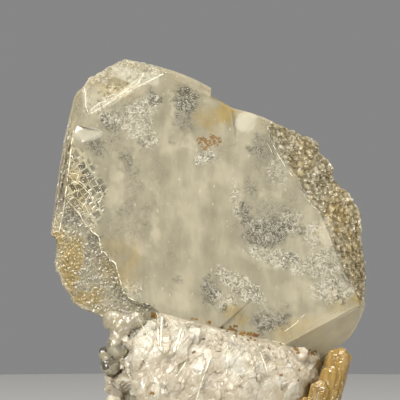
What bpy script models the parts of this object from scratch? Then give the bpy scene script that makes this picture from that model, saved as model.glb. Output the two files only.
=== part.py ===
"""Barite crystal: one large clear tabular crystal, grown on a crust of small pale crystals.

The tabular crystal is a stack of flat growth layers whose outlines step back towards the front,
cleaved by flat facets and dotted with growth hillocks. Sizes below are in millimetres: X runs to
the right along the crystal's broad face, Y runs through its thickness from front to back, and Z
is up. The specimen stands on the flat cut underside of the crust.
"""

import math
import random

import bmesh
import bpy
from mathutils import Matrix, Vector

MM = 0.001
FRONT_Y = -6.5
BACK_Y = 6.5
GAP = 0.3
FLAT_ANGLE = math.radians(0.1)
CLEAVE_SNAP = 0.002
WELD = 0.0001
PLATE_CENTRE = (0.0, 48.0)
PLATE_MIDDLE = (0.0, 0.0, 48.0)

# Edges of the tabular crystal's outline, as (x, z), clockwise seen from the front
CROWN_EDGE = [
    (-27.5, 69.8), (-26.9, 72.6), (-26.2, 73.8), (-25.1, 74.6), (-24.1, 76.4), (-22.9, 76.8),
    (-22.3, 77.6), (-19.4, 79.2), (-18.6, 79.3), (-17.3, 80.4),
]
TOP_EDGE = [
    (-12.7, 79.4), (-8.7, 78.4), (-5.1, 77.1), (-2.5, 76.0), (0.5, 74.4), (0.3, 73.1),
    (1.5, 72.4), (4.7, 70.4), (8.5, 69.4), (11.3, 68.4), (14.0, 67.1),
]
RIM_RIGHT = [
    (16.3, 66.0), (21.1, 64.0), (22.0, 63.4), (22.1, 61.6), (24.3, 59.6), (24.9, 58.6),
    (24.9, 56.2), (26.7, 54.2), (28.1, 53.4), (30.1, 50.3), (30.7, 47.6), (30.5, 42.6),
    (31.3, 39.8), (31.5, 36.0), (31.1, 30.0),
]
INNER_RIGHT = [
    (11.9, 66.4), (12.5, 64.0), (14.7, 60.0), (17.5, 56.8), (19.1, 52.8), (22.1, 49.8),
    (25.1, 42.0), (27.1, 37.4), (28.7, 34.8), (29.9, 31.6),
]
LOWER_RIGHT = [(30.3, 28.2), (28.9, 25.4), (27.1, 22.8)]
HIDDEN_FOOT = [(25.5, 19.2), (22.0, 17.2), (-8.0, 24.6), (-16.5, 26.6), (-20.2, 28.2)]
FRONT_FOOT = [(24.7, 20.8), (8.3, 25.1), (-9.7, 29.8)]
RIM_LOWER_LEFT = [
    (-22.9, 29.4), (-25.5, 30.4), (-27.1, 31.6), (-27.7, 33.1), (-28.7, 34.4), (-29.3, 35.4),
    (-29.7, 36.8), (-30.5, 37.8), (-30.7, 39.4), (-30.3, 42.4), (-30.3, 44.0), (-31.5, 45.2),
]
LEDGE = [
    (-11.7, 31.3), (-14.5, 32.0), (-15.9, 32.8), (-17.0, 34.2), (-17.7, 36.8), (-18.4, 39.4),
    (-19.9, 40.6), (-20.3, 41.4), (-21.3, 42.0), (-21.7, 44.8), (-22.9, 45.6), (-24.5, 47.4),
    (-25.7, 49.4), (-27.3, 51.2),
]
LEFT_EDGE = [(-31.1, 48.4), (-30.5, 53.2), (-29.5, 60.0), (-28.9, 64.0), (-27.9, 68.2)]

# Growth layers in front of the rim, from the front face back: depth of the face, how far across
# the right flight of steps it reaches, and how far its left and top edges stand back
LAYERS = [
    {"face": -6.5, "reach": 0.0, "left": 1.75, "top": 0.85, "ledge": 0.0},
    {"face": -5.7, "reach": 0.2, "left": 1.4, "top": 0.65, "ledge": 0.45},
    {"face": -4.7, "reach": 0.42, "left": 1.05, "top": 0.5, "ledge": None},
    {"face": -3.6, "reach": 0.62, "left": 0.7, "top": 0.35, "ledge": None},
    {"face": -2.5, "reach": 0.82, "left": 0.35, "top": 0.18, "ledge": None},
]
RIM_FACE = -1.3
STEP_JITTER = (0.3, 0.15)
STEP_SPACING = 2.1
FOOT_SHARE = 0.2

# How far each layer runs into the next, so that they join in one solid: the first one and each after it
LAYER_ROOT = 0.2
RIM_ROOT = 0.6
BACK_ROOT = 0.1

# Growth layers behind the rim: depth of the face, reach at the right, and how far in it stands
BACK_LAYERS = [
    {"face": 3.2, "reach": 0.82, "inset": 0.5},
    {"face": 4.8, "reach": 0.58, "inset": 1.2},
    {"face": BACK_Y, "reach": 0.3, "inset": 2.3},
]

# Sloping faces of the layers behind the smooth front layer, each through three points (x, y, z)
SLOPES = {
    "right_upper": ((13.6, -5.3, 65.2), (20.0, -5.3, 54.3), (24.9, -1.8, 57.5)),
    "right_lower": ((22.6, -5.3, 48.6), (28.0, -5.3, 36.5), (30.9, -2.0, 43.0)),
    "lower_left": ((-26.4, -4.7, 51.2), (-11.7, -4.7, 32.6), (-29.5, -2.9, 37.0)),
}

# Flat facets, each through three points (x, y, z)
FACETS = {
    "crown": ((-23.7, -6.5, 68.8), (-8.3, -6.5, 77.5), (-20.2, -0.6, 77.3)),
    "left_shoulder": ((-23.7, -6.5, 68.8), (-24.7, -1.4, 74.6), (-27.6, -3.0, 66.8)),
    "top_bevel": ((-8.3, -6.5, 76.6), (10.5, -6.5, 67.4), (-6.0, -5.2, 76.4)),
    "lower_right": ((30.3, -6.5, 31.4), (22.0, -6.5, 27.0), (29.6, -1.4, 26.6)),
    "back_crown": ((-22.5, 6.5, 67.0), (-8.0, 6.5, 75.0), (-20.6, 1.0, 77.6)),
    "back_left": ((-25.6, 6.5, 60.0), (-26.6, 6.5, 48.0), (-29.6, 1.6, 60.0)),
    "back_top": ((-6.0, 6.5, 73.0), (9.0, 6.5, 66.0), (-1.0, 2.6, 75.0)),
    "back_lower_left": ((-26.5, 6.5, 43.0), (-20.0, 6.5, 33.5), (-29.6, 3.0, 38.0)),
    "back_lower_right": ((29.0, 6.5, 34.0), (21.0, 6.5, 24.0), (30.0, 2.0, 29.0)),
}

# Shallow three-cornered facets let into the front face: corners (x, z) and their depths below it
NOTCHES = [
    (((-27.9, 67.2), 2.2), ((-21.1, 65.6), 0.0), ((-25.1, 63.4), 0.5)),
    (((4.3, 71.4), 1.6), ((11.2, 69.2), 1.8), ((5.3, 63.6), 0.0)),
    (((1.7, 26.4), 1.2), ((8.1, 32.0), 0.0), ((5.3, 25.2), 1.0)),
]

# Growth hillocks
HILLOCK_RADIUS = (0.62, 1.05)
HILLOCK_HEIGHT = (0.8, 1.15)
HILLOCK_SIDES = (5, 6)
HILLOCK_TOP = 0.36
HILLOCK_STRETCH = (1.25, 0.85, 1.0, 1.0)
HILLOCK_SCATTER = 0.4
HILLOCK_ROWS = 13
HILLOCK_COLUMNS = 5
HILLOCK_REACH = (0.1, 0.84)
HILLOCK_FACING = (0.35, -1.0, 0.15)
CROWN_HILLOCKS = 14
CROWN_RUN = (0.16, 0.72)
CROWN_CLIMB = (0.8, 5.6)
CROWN_PEAK = 0.4
CROWN_FALL = 3.0

# Small blocky crystals, as shares of their own size
RIDGE = (0.25, 0.7)
SHOULDER = (0.74, 0.9)
TAPER = (0.8, 0.98)
RIDGE_LEAN = 0.15

# Crust
JUNCTION_SLOPE = -0.2616
JUNCTION_HEIGHT = 27.26
CRUST_CENTRE_X = 1.9
CRUST_HALF_WIDTH = 20.6
CRUST_HALF_DEPTH = 12.4
CRUST_FOOT = 0.0
CRUST_SIDES = 24
CRUST_SQUARENESS = 0.66
CORE_MARGIN = 1.5
CORE_HEIGHT = 40.0
CORE_FOOT = -4.0
CORE_DROP = 2.4
ROOT_MARGIN = 3.4

# Shallow swells of the crust's outline: share of its width, number around it, and turn
SWELLS = [(0.04, 3, 0.8), (0.03, 5, 2.0)]

# Crystals that stand out of the crust's side, in rows from the foot up
SIDE_COLUMNS = 21
SIDE_ROWS = 4
SIDE_FOOT = 1.0
SIDE_CLEAR = 5.0
SIDE_UP = (0.2, 1.15)
SIDE_SWAY = (0.35, 0.2)
SIDE_LENGTH = (5.4, 7.4)
SIDE_STRETCH = 0.16
SIDE_SHORTEST = 2.0
SIDE_HEADROOM = 0.6
SIDE_WIDTH = (2.6, 5.6)
SIDE_DEPTH = (2.2, 4.4)

# Upright crystals along the crust's two shoulders, in rows from the tabular crystal outwards
TOP_COLUMNS = 9
TOP_ROWS = 2
TOP_SPREAD = (0.97, 0.16)
TOP_Y = (7.4, 2.9)
TOP_CURVE = 0.12
TOP_DROP = (0.2, 1.3)
TOP_ROW_DROP = 1.5
TOP_LENGTH = (6.0, 8.0)
TOP_WIDTH = (2.4, 4.0)
TOP_DEPTH = (2.0, 3.2)

# The larger crystals that stand out of the crust's front: foot (x, y, z), tip (x, y, z), width, depth
TALL_CRYSTALS = [
    ((-9.5, -10.6, 20.0), (-9.2, -9.4, 29.4), 1.3, 1.6),
    ((-7.7, -11.6, 19.5), (-5.4, -10.0, 27.6), 1.8, 2.0),
    ((-4.2, -10.5, 19.0), (-2.6, -11.4, 27.0), 3.2, 2.6),
    ((-2.6, -13.0, 7.0), (1.4, -13.0, 21.5), 3.4, 3.6),
    ((10.2, -10.0, 12.0), (10.2, -13.8, 20.4), 2.7, 2.7),
    ((14.5, -9.5, 10.0), (14.6, -13.4, 17.6), 2.6, 2.8),
    ((3.0, -9.5, 17.0), (3.5, -11.8, 25.2), 2.7, 2.7),
    ((-14.0, -9.0, 14.0), (-13.0, -11.6, 25.5), 4.0, 3.4),
    ((-15.5, -8.0, 5.0), (-19.5, -11.5, 13.5), 4.4, 3.8),
    ((6.5, -10.0, 4.0), (5.4, -15.2, 14.0), 4.6, 4.0),
    ((-8.0, -10.0, 6.0), (-9.6, -14.4, 16.0), 4.2, 4.0),
]

# The honey-coloured columns: lean of their axis, drop of their roof and depth of their corner flutes
AMBER_AXIS = (0.27, -0.03, 1.0)
AMBER_ROOF = (0.9, 1.6)
AMBER_FLUTE = (0.28, 0.42)
AMBER_COLUMNS = [
    # x, y, width, depth, foot, top
    (21.9, -8.8, 3.9, 4.2, 6.0, 23.6),
    (20.4, -10.2, 3.6, 3.8, 4.0, 20.2),
    (18.6, -11.4, 3.6, 3.6, 3.0, 17.2),
    (16.8, -12.4, 3.2, 3.4, 2.4, 13.8),
    (21.7, -5.0, 4.0, 4.4, 5.0, 23.2),
    (21.5, -1.0, 4.0, 4.4, 5.0, 22.6),
    (20.9, 2.4, 4.0, 4.4, 3.6, 20.8),
    (21.4, -10.9, 2.4, 2.6, 5.0, 16.4),
]

# The rounded glassy crystals: how much of each edge is rounded off, and how far they turn about Y and Z
LOBE_ROUNDING = 0.24
LOBE_TURN = (0.5, 0.4)
CLEAR_LOBES = [
    # x, y, z, width, depth, height
    (-19.0, -6.9, 28.2, 3.9, 3.6, 3.9),
    (-17.0, -7.9, 26.2, 4.4, 3.8, 6.4),
    (-18.0, -8.8, 23.0, 4.2, 3.8, 4.6),
    (-20.5, -7.4, 21.6, 2.5, 2.8, 2.9),
    (-19.4, -8.0, 19.2, 3.8, 3.6, 3.6),
    (-14.4, -8.6, 28.2, 3.6, 3.0, 3.6),
]

MATERIALS = {
    "barite_plate": {"color": (0.62, 0.57, 0.44, 1.0), "roughness": 0.12, "transmission": 0.8},
    "crystal_base": {"color": (0.75, 0.66, 0.55, 1.0), "roughness": 0.3, "transmission": 0.2},
    "amber_crystal": {"color": (0.58, 0.36, 0.1, 1.0), "roughness": 0.2, "transmission": 0.5},
    "clear_side_crystals": {"color": (0.7, 0.66, 0.54, 1.0), "roughness": 0.12, "transmission": 0.8},
}


def clear_scene():
    for obj in list(bpy.data.objects):
        bpy.data.objects.remove(obj, do_unlink=True)


def add_collection(name, hidden):
    collection = bpy.data.collections.new(name)
    bpy.context.scene.collection.children.link(collection)
    collection.hide_render = hidden
    return collection


def add_object(name, bm, collection):
    """A new mesh object made from bm, which is in millimetres."""
    mesh = bpy.data.meshes.new(name)
    bmesh.ops.recalc_face_normals(bm, faces=bm.faces)
    bm.to_mesh(mesh)
    bm.free()
    obj = bpy.data.objects.new(name, mesh)
    collection.objects.link(obj)
    return obj


def evaluated_mesh(obj):
    graph = bpy.context.evaluated_depsgraph_get()
    return bpy.data.meshes.new_from_object(obj.evaluated_get(graph))


def slab(outline, front, back, collection):
    """A flat layer: the outline in X and Z, filled and extruded between two depths."""
    curve = bpy.data.curves.new("layer_outline", "CURVE")
    curve.dimensions = "2D"
    curve.fill_mode = "BOTH"
    curve.extrude = (back - front) / 2
    spline = curve.splines.new("POLY")
    spline.points.add(len(outline) - 1)
    for point, (x, z) in zip(spline.points, outline):
        point.co = (x, z, 0.0, 1.0)
    spline.use_cyclic_u = True
    guide = bpy.data.objects.new("layer_outline", curve)
    collection.objects.link(guide)
    bm = bmesh.new()
    bm.from_mesh(evaluated_mesh(guide))
    bpy.data.objects.remove(guide)
    bmesh.ops.remove_doubles(bm, verts=bm.verts, dist=WELD)
    upright = Matrix.Translation((0, (front + back) / 2, 0)) @ Matrix.Rotation(math.radians(90), 4, "X")
    bmesh.ops.transform(bm, matrix=upright, verts=bm.verts)
    return add_object("layer", bm, collection)


def hull(points, collection):
    """The convex solid around the points."""
    bm = bmesh.new()
    verts = [bm.verts.new(point) for point in points]
    made = bmesh.ops.convex_hull(bm, input=verts)
    loose = [item for item in made["geom_interior"] + made["geom_unused"] if item.is_valid]
    bmesh.ops.delete(bm, geom=[item for item in loose if isinstance(item, bmesh.types.BMVert)])
    return add_object("hull", bm, collection)


def combine(target, others, operation):
    """Joins the other solids to the target, or cuts them from it, and removes them."""
    tools = add_collection("tools", True)
    for other in others:
        tools.objects.link(other)
    modifier = target.modifiers.new("combine", "BOOLEAN")
    modifier.operation = operation
    modifier.operand_type = "COLLECTION"
    modifier.collection = tools
    modifier.solver = "EXACT"
    mesh = evaluated_mesh(target)
    target.modifiers.clear()
    target.data = mesh
    for other in others:
        bpy.data.objects.remove(other, do_unlink=True)
    bpy.data.collections.remove(tools)


def keep_largest_body(obj):
    """Drops chips that a cut left loose and sealed hollows between grown crystals, and merges flat faces."""
    bm = bmesh.new()
    bm.from_mesh(obj.data)
    unseen = set(bm.verts)
    bodies = []
    while unseen:
        body = set()
        front = [unseen.pop()]
        while front:
            vert = front.pop()
            body.add(vert)
            for edge in vert.link_edges:
                other = edge.other_vert(vert)
                if other in unseen:
                    unseen.remove(other)
                    front.append(other)
        bodies.append(body)
    bodies.sort(key=len)
    for body in bodies[:-1]:
        bmesh.ops.delete(bm, geom=list(body), context="VERTS")
    bmesh.ops.remove_doubles(bm, verts=bm.verts, dist=CLEAVE_SNAP)
    bmesh.ops.dissolve_degenerate(bm, edges=bm.edges, dist=CLEAVE_SNAP)
    bmesh.ops.dissolve_limit(bm, angle_limit=FLAT_ANGLE, verts=bm.verts, edges=bm.edges)
    bm.to_mesh(obj.data)
    bm.free()


def towards_centre(point, distance):
    x, z = point
    to_centre = Vector((PLATE_CENTRE[0] - x, PLATE_CENTRE[1] - z)).normalized() * distance
    return x + to_centre.x, z + to_centre.y


def inset(points, distance):
    return [towards_centre(point, distance) for point in points]


def along(points, fraction):
    """The point at this fraction of a polyline's length."""
    lengths = [math.dist(a, b) for a, b in zip(points, points[1:])]
    wanted = fraction * sum(lengths)
    for (start, end), length in zip(zip(points, points[1:]), lengths):
        if wanted <= length:
            return Vector(start).lerp(Vector(end), wanted / length)
        wanted -= length
    return Vector(points[-1])


def right_steps(reach, rng):
    """The right edge of a layer that reaches part of the way from the inner edge to the rim."""
    if reach >= 1.0:
        return RIM_RIGHT
    if reach <= 0.0:
        return INNER_RIGHT
    span = sum(math.dist(a, b) for a, b in zip(RIM_RIGHT, RIM_RIGHT[1:]))
    count = round(span / STEP_SPACING)
    edge = []
    for i in range(count + 1):
        point = along(INNER_RIGHT, i / count).lerp(along(RIM_RIGHT, i / count), reach)
        sway = rng.uniform(-1, 1)
        edge.append((point.x + sway * STEP_JITTER[0], point.y + sway * STEP_JITTER[1]))
    return edge


def layer_outline(layer, rng):
    upper = inset(LEFT_EDGE, layer["left"]) + inset(CROWN_EDGE + TOP_EDGE, layer["top"])
    right = right_steps(layer["reach"], rng)
    if layer["ledge"] is None:
        lower_left = inset(RIM_LOWER_LEFT, layer["top"])
        return upper + right + inset(LOWER_RIGHT + HIDDEN_FOOT, layer["top"]) + lower_left
    ledge = inset(LEDGE, -layer["ledge"])
    foot = inset(LOWER_RIGHT, layer["top"]) + inset(FRONT_FOOT, -FOOT_SHARE * layer["ledge"])
    return upper[1:] + right + foot + ledge


def plane_through(points, inside):
    """A point on the plane and its normal, pointing away from the point inside."""
    a, b, c = (Vector(point) for point in points)
    normal = (b - a).cross(c - a).normalized()
    if normal.dot(Vector(inside) - a) > 0:
        normal.negate()
    return a, normal


def cleave(obj, facets, inside, outward=0.0):
    """Cuts the solid along planes through three points, moved outward, and keeps the side of inside."""
    bm = bmesh.new()
    bm.from_mesh(obj.data)
    for points in facets:
        origin, normal = plane_through(points, inside)
        origin = origin + normal * outward
        geometry = bm.verts[:] + bm.edges[:] + bm.faces[:]
        cut = bmesh.ops.bisect_plane(
            bm, geom=geometry, dist=CLEAVE_SNAP, plane_co=origin, plane_no=normal, clear_outer=True,
        )
        rim = [item for item in cut["geom_cut"] if isinstance(item, bmesh.types.BMEdge)]
        rim = [edge for edge in rim if edge.is_valid and edge.is_boundary]
        bmesh.ops.triangle_fill(bm, edges=rim, normal=normal, use_beauty=True, use_dissolve=False)
    bmesh.ops.recalc_face_normals(bm, faces=bm.faces)
    bm.to_mesh(obj.data)
    bm.free()


def hillock(centre, normal, radius, height, rng, collection):
    bm = bmesh.new()
    bmesh.ops.create_cone(
        bm, cap_ends=True, segments=rng.choice(HILLOCK_SIDES), radius1=radius,
        radius2=HILLOCK_TOP * radius, depth=height,
    )
    turn = normal.to_track_quat("Z", "Y").to_matrix().to_4x4()
    roll = Matrix.Rotation(rng.uniform(0, math.tau), 4, "Z")
    stretch = Matrix.Diagonal(HILLOCK_STRETCH)
    bmesh.ops.transform(bm, matrix=Matrix.Translation(centre) @ turn @ roll @ stretch, verts=bm.verts)
    return add_object("hillock", bm, collection)


def step_depth(reach):
    """The depth of the flight of steps at this fraction of its width."""
    for layer in LAYERS:
        if reach <= layer["reach"]:
            return layer["face"]
    return RIM_FACE


def slope_depth(place, depth):
    """The depth of the surface at this place (x, z): the step's own face, or the slope that cuts it."""
    for points in SLOPES.values():
        origin, normal = plane_through(points, PLATE_MIDDLE)
        on_plane = origin.y - (normal.x * (place.x - origin.x) + normal.z * (place.y - origin.z)) / normal.y
        depth = max(depth, on_plane)
    return depth


def step_hillocks(rng, collection):
    made = []
    nearest, span = HILLOCK_REACH
    normal = Vector(HILLOCK_FACING).normalized()
    for row in range(HILLOCK_ROWS):
        for column in range(HILLOCK_COLUMNS):
            up = row + 0.5 + rng.uniform(-HILLOCK_SCATTER, HILLOCK_SCATTER)
            across = (column + 0.5 + rng.uniform(-HILLOCK_SCATTER, HILLOCK_SCATTER)) / HILLOCK_COLUMNS
            length = up / (HILLOCK_ROWS + 0.6)
            reach = nearest + span * across
            place = along(INNER_RIGHT, length).lerp(along(RIM_RIGHT, length), reach)
            centre = Vector((place.x, slope_depth(place, step_depth(reach)), place.y))
            radius = rng.uniform(*HILLOCK_RADIUS)
            made.append(hillock(centre, normal, radius, rng.uniform(*HILLOCK_HEIGHT), rng, collection))
    return made


def crown_hillocks(rng, collection):
    """Hillocks and short ledges on the rough crown facet."""
    made = []
    start, end, top = (Vector(point) for point in FACETS["crown"])
    _, normal = plane_through(FACETS["crown"], PLATE_MIDDLE)
    along_edge = (end - start).normalized()
    up_facet = normal.cross(along_edge)
    if up_facet.z < 0:
        up_facet.negate()
    first, span = CROWN_RUN
    lowest, highest = CROWN_CLIMB
    for i in range(CROWN_HILLOCKS):
        run = (first + span * (i + 0.5) / CROWN_HILLOCKS) * (end - start).length
        climb = rng.uniform(lowest, highest - CROWN_FALL * abs(i / CROWN_HILLOCKS - CROWN_PEAK))
        centre = start + along_edge * run + up_facet * climb
        radius = rng.uniform(*HILLOCK_RADIUS)
        made.append(hillock(centre, normal, radius, rng.uniform(*HILLOCK_HEIGHT), rng, collection))
    return made


def notch_cutter(corners, collection):
    """A cutter that lets a shallow three-cornered facet into the front face."""
    outside = 6.0
    points = []
    for (x, z), depth in corners:
        points.append((x, FRONT_Y + depth, z))
        points.append((x, FRONT_Y - outside, z))
    return hull(points, collection)


def make_plate(parts, work):
    rng = random.Random(21)
    body = slab(rim_outline(), RIM_FACE, BACK_LAYERS[0]["face"] - RIM_ROOT, work)
    layers = []
    for i, layer in enumerate(LAYERS):
        layers.append(slab(layer_outline(layer, rng), layer["face"], LAYER_ROOT * (i + 1), work))
    back_layers = []
    for i, layer in enumerate(BACK_LAYERS):
        rings = {"left": layer["inset"], "top": layer["inset"], "ledge": None, "reach": layer["reach"]}
        root = BACK_ROOT - LAYER_ROOT * i
        back_layers.append(slab(layer_outline(rings, rng), root, layer["face"], work))
    smooth_front, stepped = layers[:2], layers[2:]
    combine(body, stepped + back_layers, "UNION")
    cleave(body, SLOPES.values(), PLATE_MIDDLE)
    combine(body, smooth_front, "UNION")
    cleave(body, FACETS.values(), PLATE_MIDDLE)
    combine(body, [notch_cutter(corners, work) for corners in NOTCHES], "DIFFERENCE")
    combine(body, step_hillocks(rng, work) + crown_hillocks(rng, work), "UNION")
    keep_largest_body(body)
    finish(body, "barite_plate", parts)
    return body


def rim_outline():
    return LEFT_EDGE + CROWN_EDGE + TOP_EDGE + RIM_RIGHT + LOWER_RIGHT + HIDDEN_FOOT + RIM_LOWER_LEFT


def plate_clearance(work):
    """Cutters that keep the crust clear of the tabular crystal by the gap."""
    rear = slab(inset(rim_outline(), -GAP), LAYERS[2]["face"] - GAP, BACK_Y + GAP, work)
    front = slab(inset(layer_outline(LAYERS[1], random.Random(0)), -GAP), FRONT_Y - GAP, 0.0, work)
    low_facets = [points for name, points in FACETS.items() if "lower" in name]
    for cutter in (rear, front):
        cleave(cutter, low_facets, PLATE_MIDDLE, GAP)
    return [rear, front]


def blocky_crystal(base, axis, size, rng, collection):
    """A four-sided crystal with a chisel end, standing on its base point along its axis."""
    width, depth, length = size
    ridge = rng.uniform(*RIDGE)
    shoulder = rng.uniform(*SHOULDER)
    taper = rng.uniform(*TAPER)
    lean = rng.uniform(-RIDGE_LEAN, RIDGE_LEAN) * depth
    points = []
    for sx in (-0.5, 0.5):
        for sy in (-0.5, 0.5):
            points.append((sx * width, sy * depth, 0.0))
            points.append((sx * width * taper, sy * depth * taper, shoulder * length))
        points.append((sx * width * taper * ridge, lean, length))
    turn = axis.to_track_quat("Z", "Y").to_matrix().to_4x4()
    place = Matrix.Translation(base) @ turn @ Matrix.Rotation(rng.uniform(0, math.tau), 4, "Z")
    return hull([place @ Vector(point) for point in points], collection)


def junction(x):
    """The height at which the tabular crystal's front foot meets the crust."""
    return JUNCTION_HEIGHT + JUNCTION_SLOPE * x


def crust_rim(angle, margin):
    """The crust's outline seen from above, a squared oval with shallow swells, stood in by the margin."""
    swell = 1.0 + sum(share * math.sin(count * angle + turn) for share, count, turn in SWELLS)
    across = math.copysign(abs(math.cos(angle)) ** CRUST_SQUARENESS, math.cos(angle))
    deep = math.copysign(abs(math.sin(angle)) ** CRUST_SQUARENESS, math.sin(angle))
    x = CRUST_CENTRE_X + (CRUST_HALF_WIDTH * swell - margin) * across
    return x, (CRUST_HALF_DEPTH * swell - margin) * deep


def crust_core(work):
    bm = bmesh.new()
    bmesh.ops.create_cone(
        bm, cap_ends=True, segments=CRUST_SIDES, radius1=1.0, radius2=1.0, depth=CORE_HEIGHT,
    )
    for vert in bm.verts:
        vert.co.x, vert.co.y = crust_rim(math.atan2(vert.co.y, vert.co.x), CORE_MARGIN)
        vert.co.z += CORE_HEIGHT / 2 + CORE_FOOT
    core = add_object("core", bm, work)
    top = [(x, y, junction(x) - CORE_DROP) for x, y in ((-10, -5), (10, -5), (0, 5))]
    cleave(core, [top], (0, 0, 0))
    return core


def side_crystals(rng, work):
    made = []
    for row in range(SIDE_ROWS):
        for column in range(SIDE_COLUMNS):
            angle = math.tau * (column + 0.5 * (row % 2) + rng.uniform(-0.3, 0.3)) / SIDE_COLUMNS
            out = Vector((math.cos(angle), math.sin(angle), 0))
            x, y = crust_rim(angle, ROOT_MARGIN)
            rise = (row + 0.1 + rng.uniform(-0.25, 0.25)) / SIDE_ROWS
            z = SIDE_FOOT + rise * (junction(x) - SIDE_CLEAR)
            up = rng.uniform(*SIDE_UP)
            sway = Vector((rng.uniform(-1, 1) * SIDE_SWAY[0], rng.uniform(-1, 1) * SIDE_SWAY[1], 0))
            axis = (out + Vector((0, 0, up)) + sway).normalized()
            length = rng.uniform(*SIDE_LENGTH) * (1.0 + SIDE_STRETCH * up)
            length = min(length, (junction(x) - SIDE_HEADROOM - z) / max(axis.z, 0.1))
            if length < SIDE_SHORTEST:
                continue
            size = (rng.uniform(*SIDE_WIDTH), rng.uniform(*SIDE_DEPTH), length)
            made.append(blocky_crystal(Vector((x, y, z)), axis, size, rng, work))
    return made


def top_crystals(rng, work):
    """Upright crystals that fill the shoulders of the crust in front of the plate and behind it."""
    made = []
    for side in (-1, 1):
        for row in range(TOP_ROWS):
            for column in range(TOP_COLUMNS):
                reach = (column + 0.5 + rng.uniform(-0.35, 0.35)) / TOP_COLUMNS * 2 - 1
                half = CRUST_HALF_WIDTH * (TOP_SPREAD[0] - TOP_SPREAD[1] * row)
                x = CRUST_CENTRE_X + reach * half
                y = TOP_Y[0] + TOP_Y[1] * row + rng.uniform(-0.4, 0.4)
                y *= side * (1.0 - TOP_CURVE * reach * reach)
                end = junction(x) - rng.uniform(*TOP_DROP) - TOP_ROW_DROP * row
                foot = end - rng.uniform(*TOP_LENGTH)
                axis = Vector((rng.uniform(-0.2, 0.2), side * rng.uniform(0.02, 0.3), 1)).normalized()
                size = (rng.uniform(*TOP_WIDTH), rng.uniform(*TOP_DEPTH), (end - foot) / axis.z)
                made.append(blocky_crystal(Vector((x, y, foot)), axis, size, rng, work))
    return made


def tall_crystals(rng, work):
    made = []
    for foot, tip, width, depth in TALL_CRYSTALS:
        axis = Vector(tip) - Vector(foot)
        size = (width, depth, axis.length)
        made.append(blocky_crystal(Vector(foot), axis.normalized(), size, rng, work))
    return made


def amber_columns(grow, work):
    """The honey-coloured columns, each grown outwards by the same amount on every side."""
    rng = random.Random(5)
    made = []
    for x, y, width, depth, foot, top in AMBER_COLUMNS:
        made.append(amber_column(x, y, width, depth, foot, top, grow, rng, work))
    return made


def amber_column(x, y, width, depth, foot, top, grow, rng, work):
    axis = Vector(AMBER_AXIS).normalized()
    roof = rng.uniform(*AMBER_ROOF)
    flute = rng.uniform(*AMBER_FLUTE)
    points = []
    for sx in (-0.5, 0.5):
        for sy in (-0.5, 0.5):
            corner = Vector((x + sx * width, y + sy * depth * (1 - flute), 0))
            spur = Vector((x + sx * width * (1 - flute), y + sy * depth, 0))
            for place in (corner, spur):
                out = (place - Vector((x, y, 0))).normalized() * grow
                points.append((place.x + out.x, place.y + out.y, foot - grow))
                points.append((place.x + out.x, place.y + out.y, top - roof + grow))
        points.append((x + 0.5 * sx * width, y, top + grow))
    lean = Matrix.Translation((x, y, foot)) @ axis.to_track_quat("Z", "Y").to_matrix().to_4x4()
    lean = lean @ Matrix.Translation((-x, -y, -foot))
    return hull([lean @ Vector(point) for point in points], work)


def clear_lobes(grow, work):
    """The rounded glassy crystals, each grown outwards by the same amount on every side."""
    rng = random.Random(11)
    made = []
    for x, y, z, width, depth, height in CLEAR_LOBES:
        bm = bmesh.new()
        bmesh.ops.create_cube(bm, size=1.0)
        bmesh.ops.bevel(
            bm, geom=bm.edges, offset=LOBE_ROUNDING, offset_type="OFFSET", segments=1, profile=0.5,
            affect="EDGES",
        )
        turn_y, turn_z = (rng.uniform(-1, 1) * most for most in LOBE_TURN)
        turn = Matrix.Rotation(turn_y, 4, "Y") @ Matrix.Rotation(turn_z, 4, "Z")
        size = Matrix.Diagonal((width + 2 * grow, depth + 2 * grow, height + 2 * grow, 1.0))
        bmesh.ops.transform(bm, matrix=Matrix.Translation((x, y, z)) @ turn @ size, verts=bm.verts)
        made.append(add_object("lobe", bm, work))
    return made


def make_crust(parts, work):
    rng = random.Random(8)
    crust = crust_core(work)
    crystals = side_crystals(rng, work) + top_crystals(rng, work) + tall_crystals(rng, work)
    combine(crust, crystals, "UNION")
    cutters = plate_clearance(work) + amber_columns(GAP, work) + clear_lobes(GAP, work)
    combine(crust, cutters, "DIFFERENCE")
    cleave(crust, [((0, 0, CRUST_FOOT), (10, 0, CRUST_FOOT), (0, 10, CRUST_FOOT))], (0, 0, 20))
    keep_largest_body(crust)
    finish(crust, "crystal_base", parts)
    return crust


def make_small_group(name, pieces, parts, work):
    """One solid of overlapping small crystals, clear of the tabular crystal."""
    group = pieces[0]
    combine(group, pieces[1:], "UNION")
    combine(group, plate_clearance(work), "DIFFERENCE")
    keep_largest_body(group)
    finish(group, name, parts)
    return group


def finish(obj, name, parts):
    """Names the piece, gives it its material and moves it to the parts collection."""
    obj.name = name
    obj.data.name = name
    for collection in list(obj.users_collection):
        collection.objects.unlink(obj)
    parts.objects.link(obj)
    values = MATERIALS[name]
    material = bpy.data.materials.new(name)
    material.use_nodes = True
    shader = material.node_tree.nodes["Principled BSDF"]
    shader.inputs["Base Color"].default_value = values["color"]
    shader.inputs["Roughness"].default_value = values["roughness"]
    shader.inputs["Metallic"].default_value = 0.0
    shader.inputs["Transmission Weight"].default_value = values["transmission"]
    obj.data.materials.clear()
    obj.data.materials.append(material)


def stand_on_origin(pieces):
    """Puts the middle of the whole specimen's box over the origin and turns millimetres to metres."""
    corners = [vert.co for piece in pieces for vert in piece.data.vertices]
    shift = Vector((
        -(min(c.x for c in corners) + max(c.x for c in corners)) / 2,
        -(min(c.y for c in corners) + max(c.y for c in corners)) / 2,
        -min(c.z for c in corners),
    ))
    for piece in pieces:
        piece.data.transform(Matrix.Scale(MM, 4) @ Matrix.Translation(shift))


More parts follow.
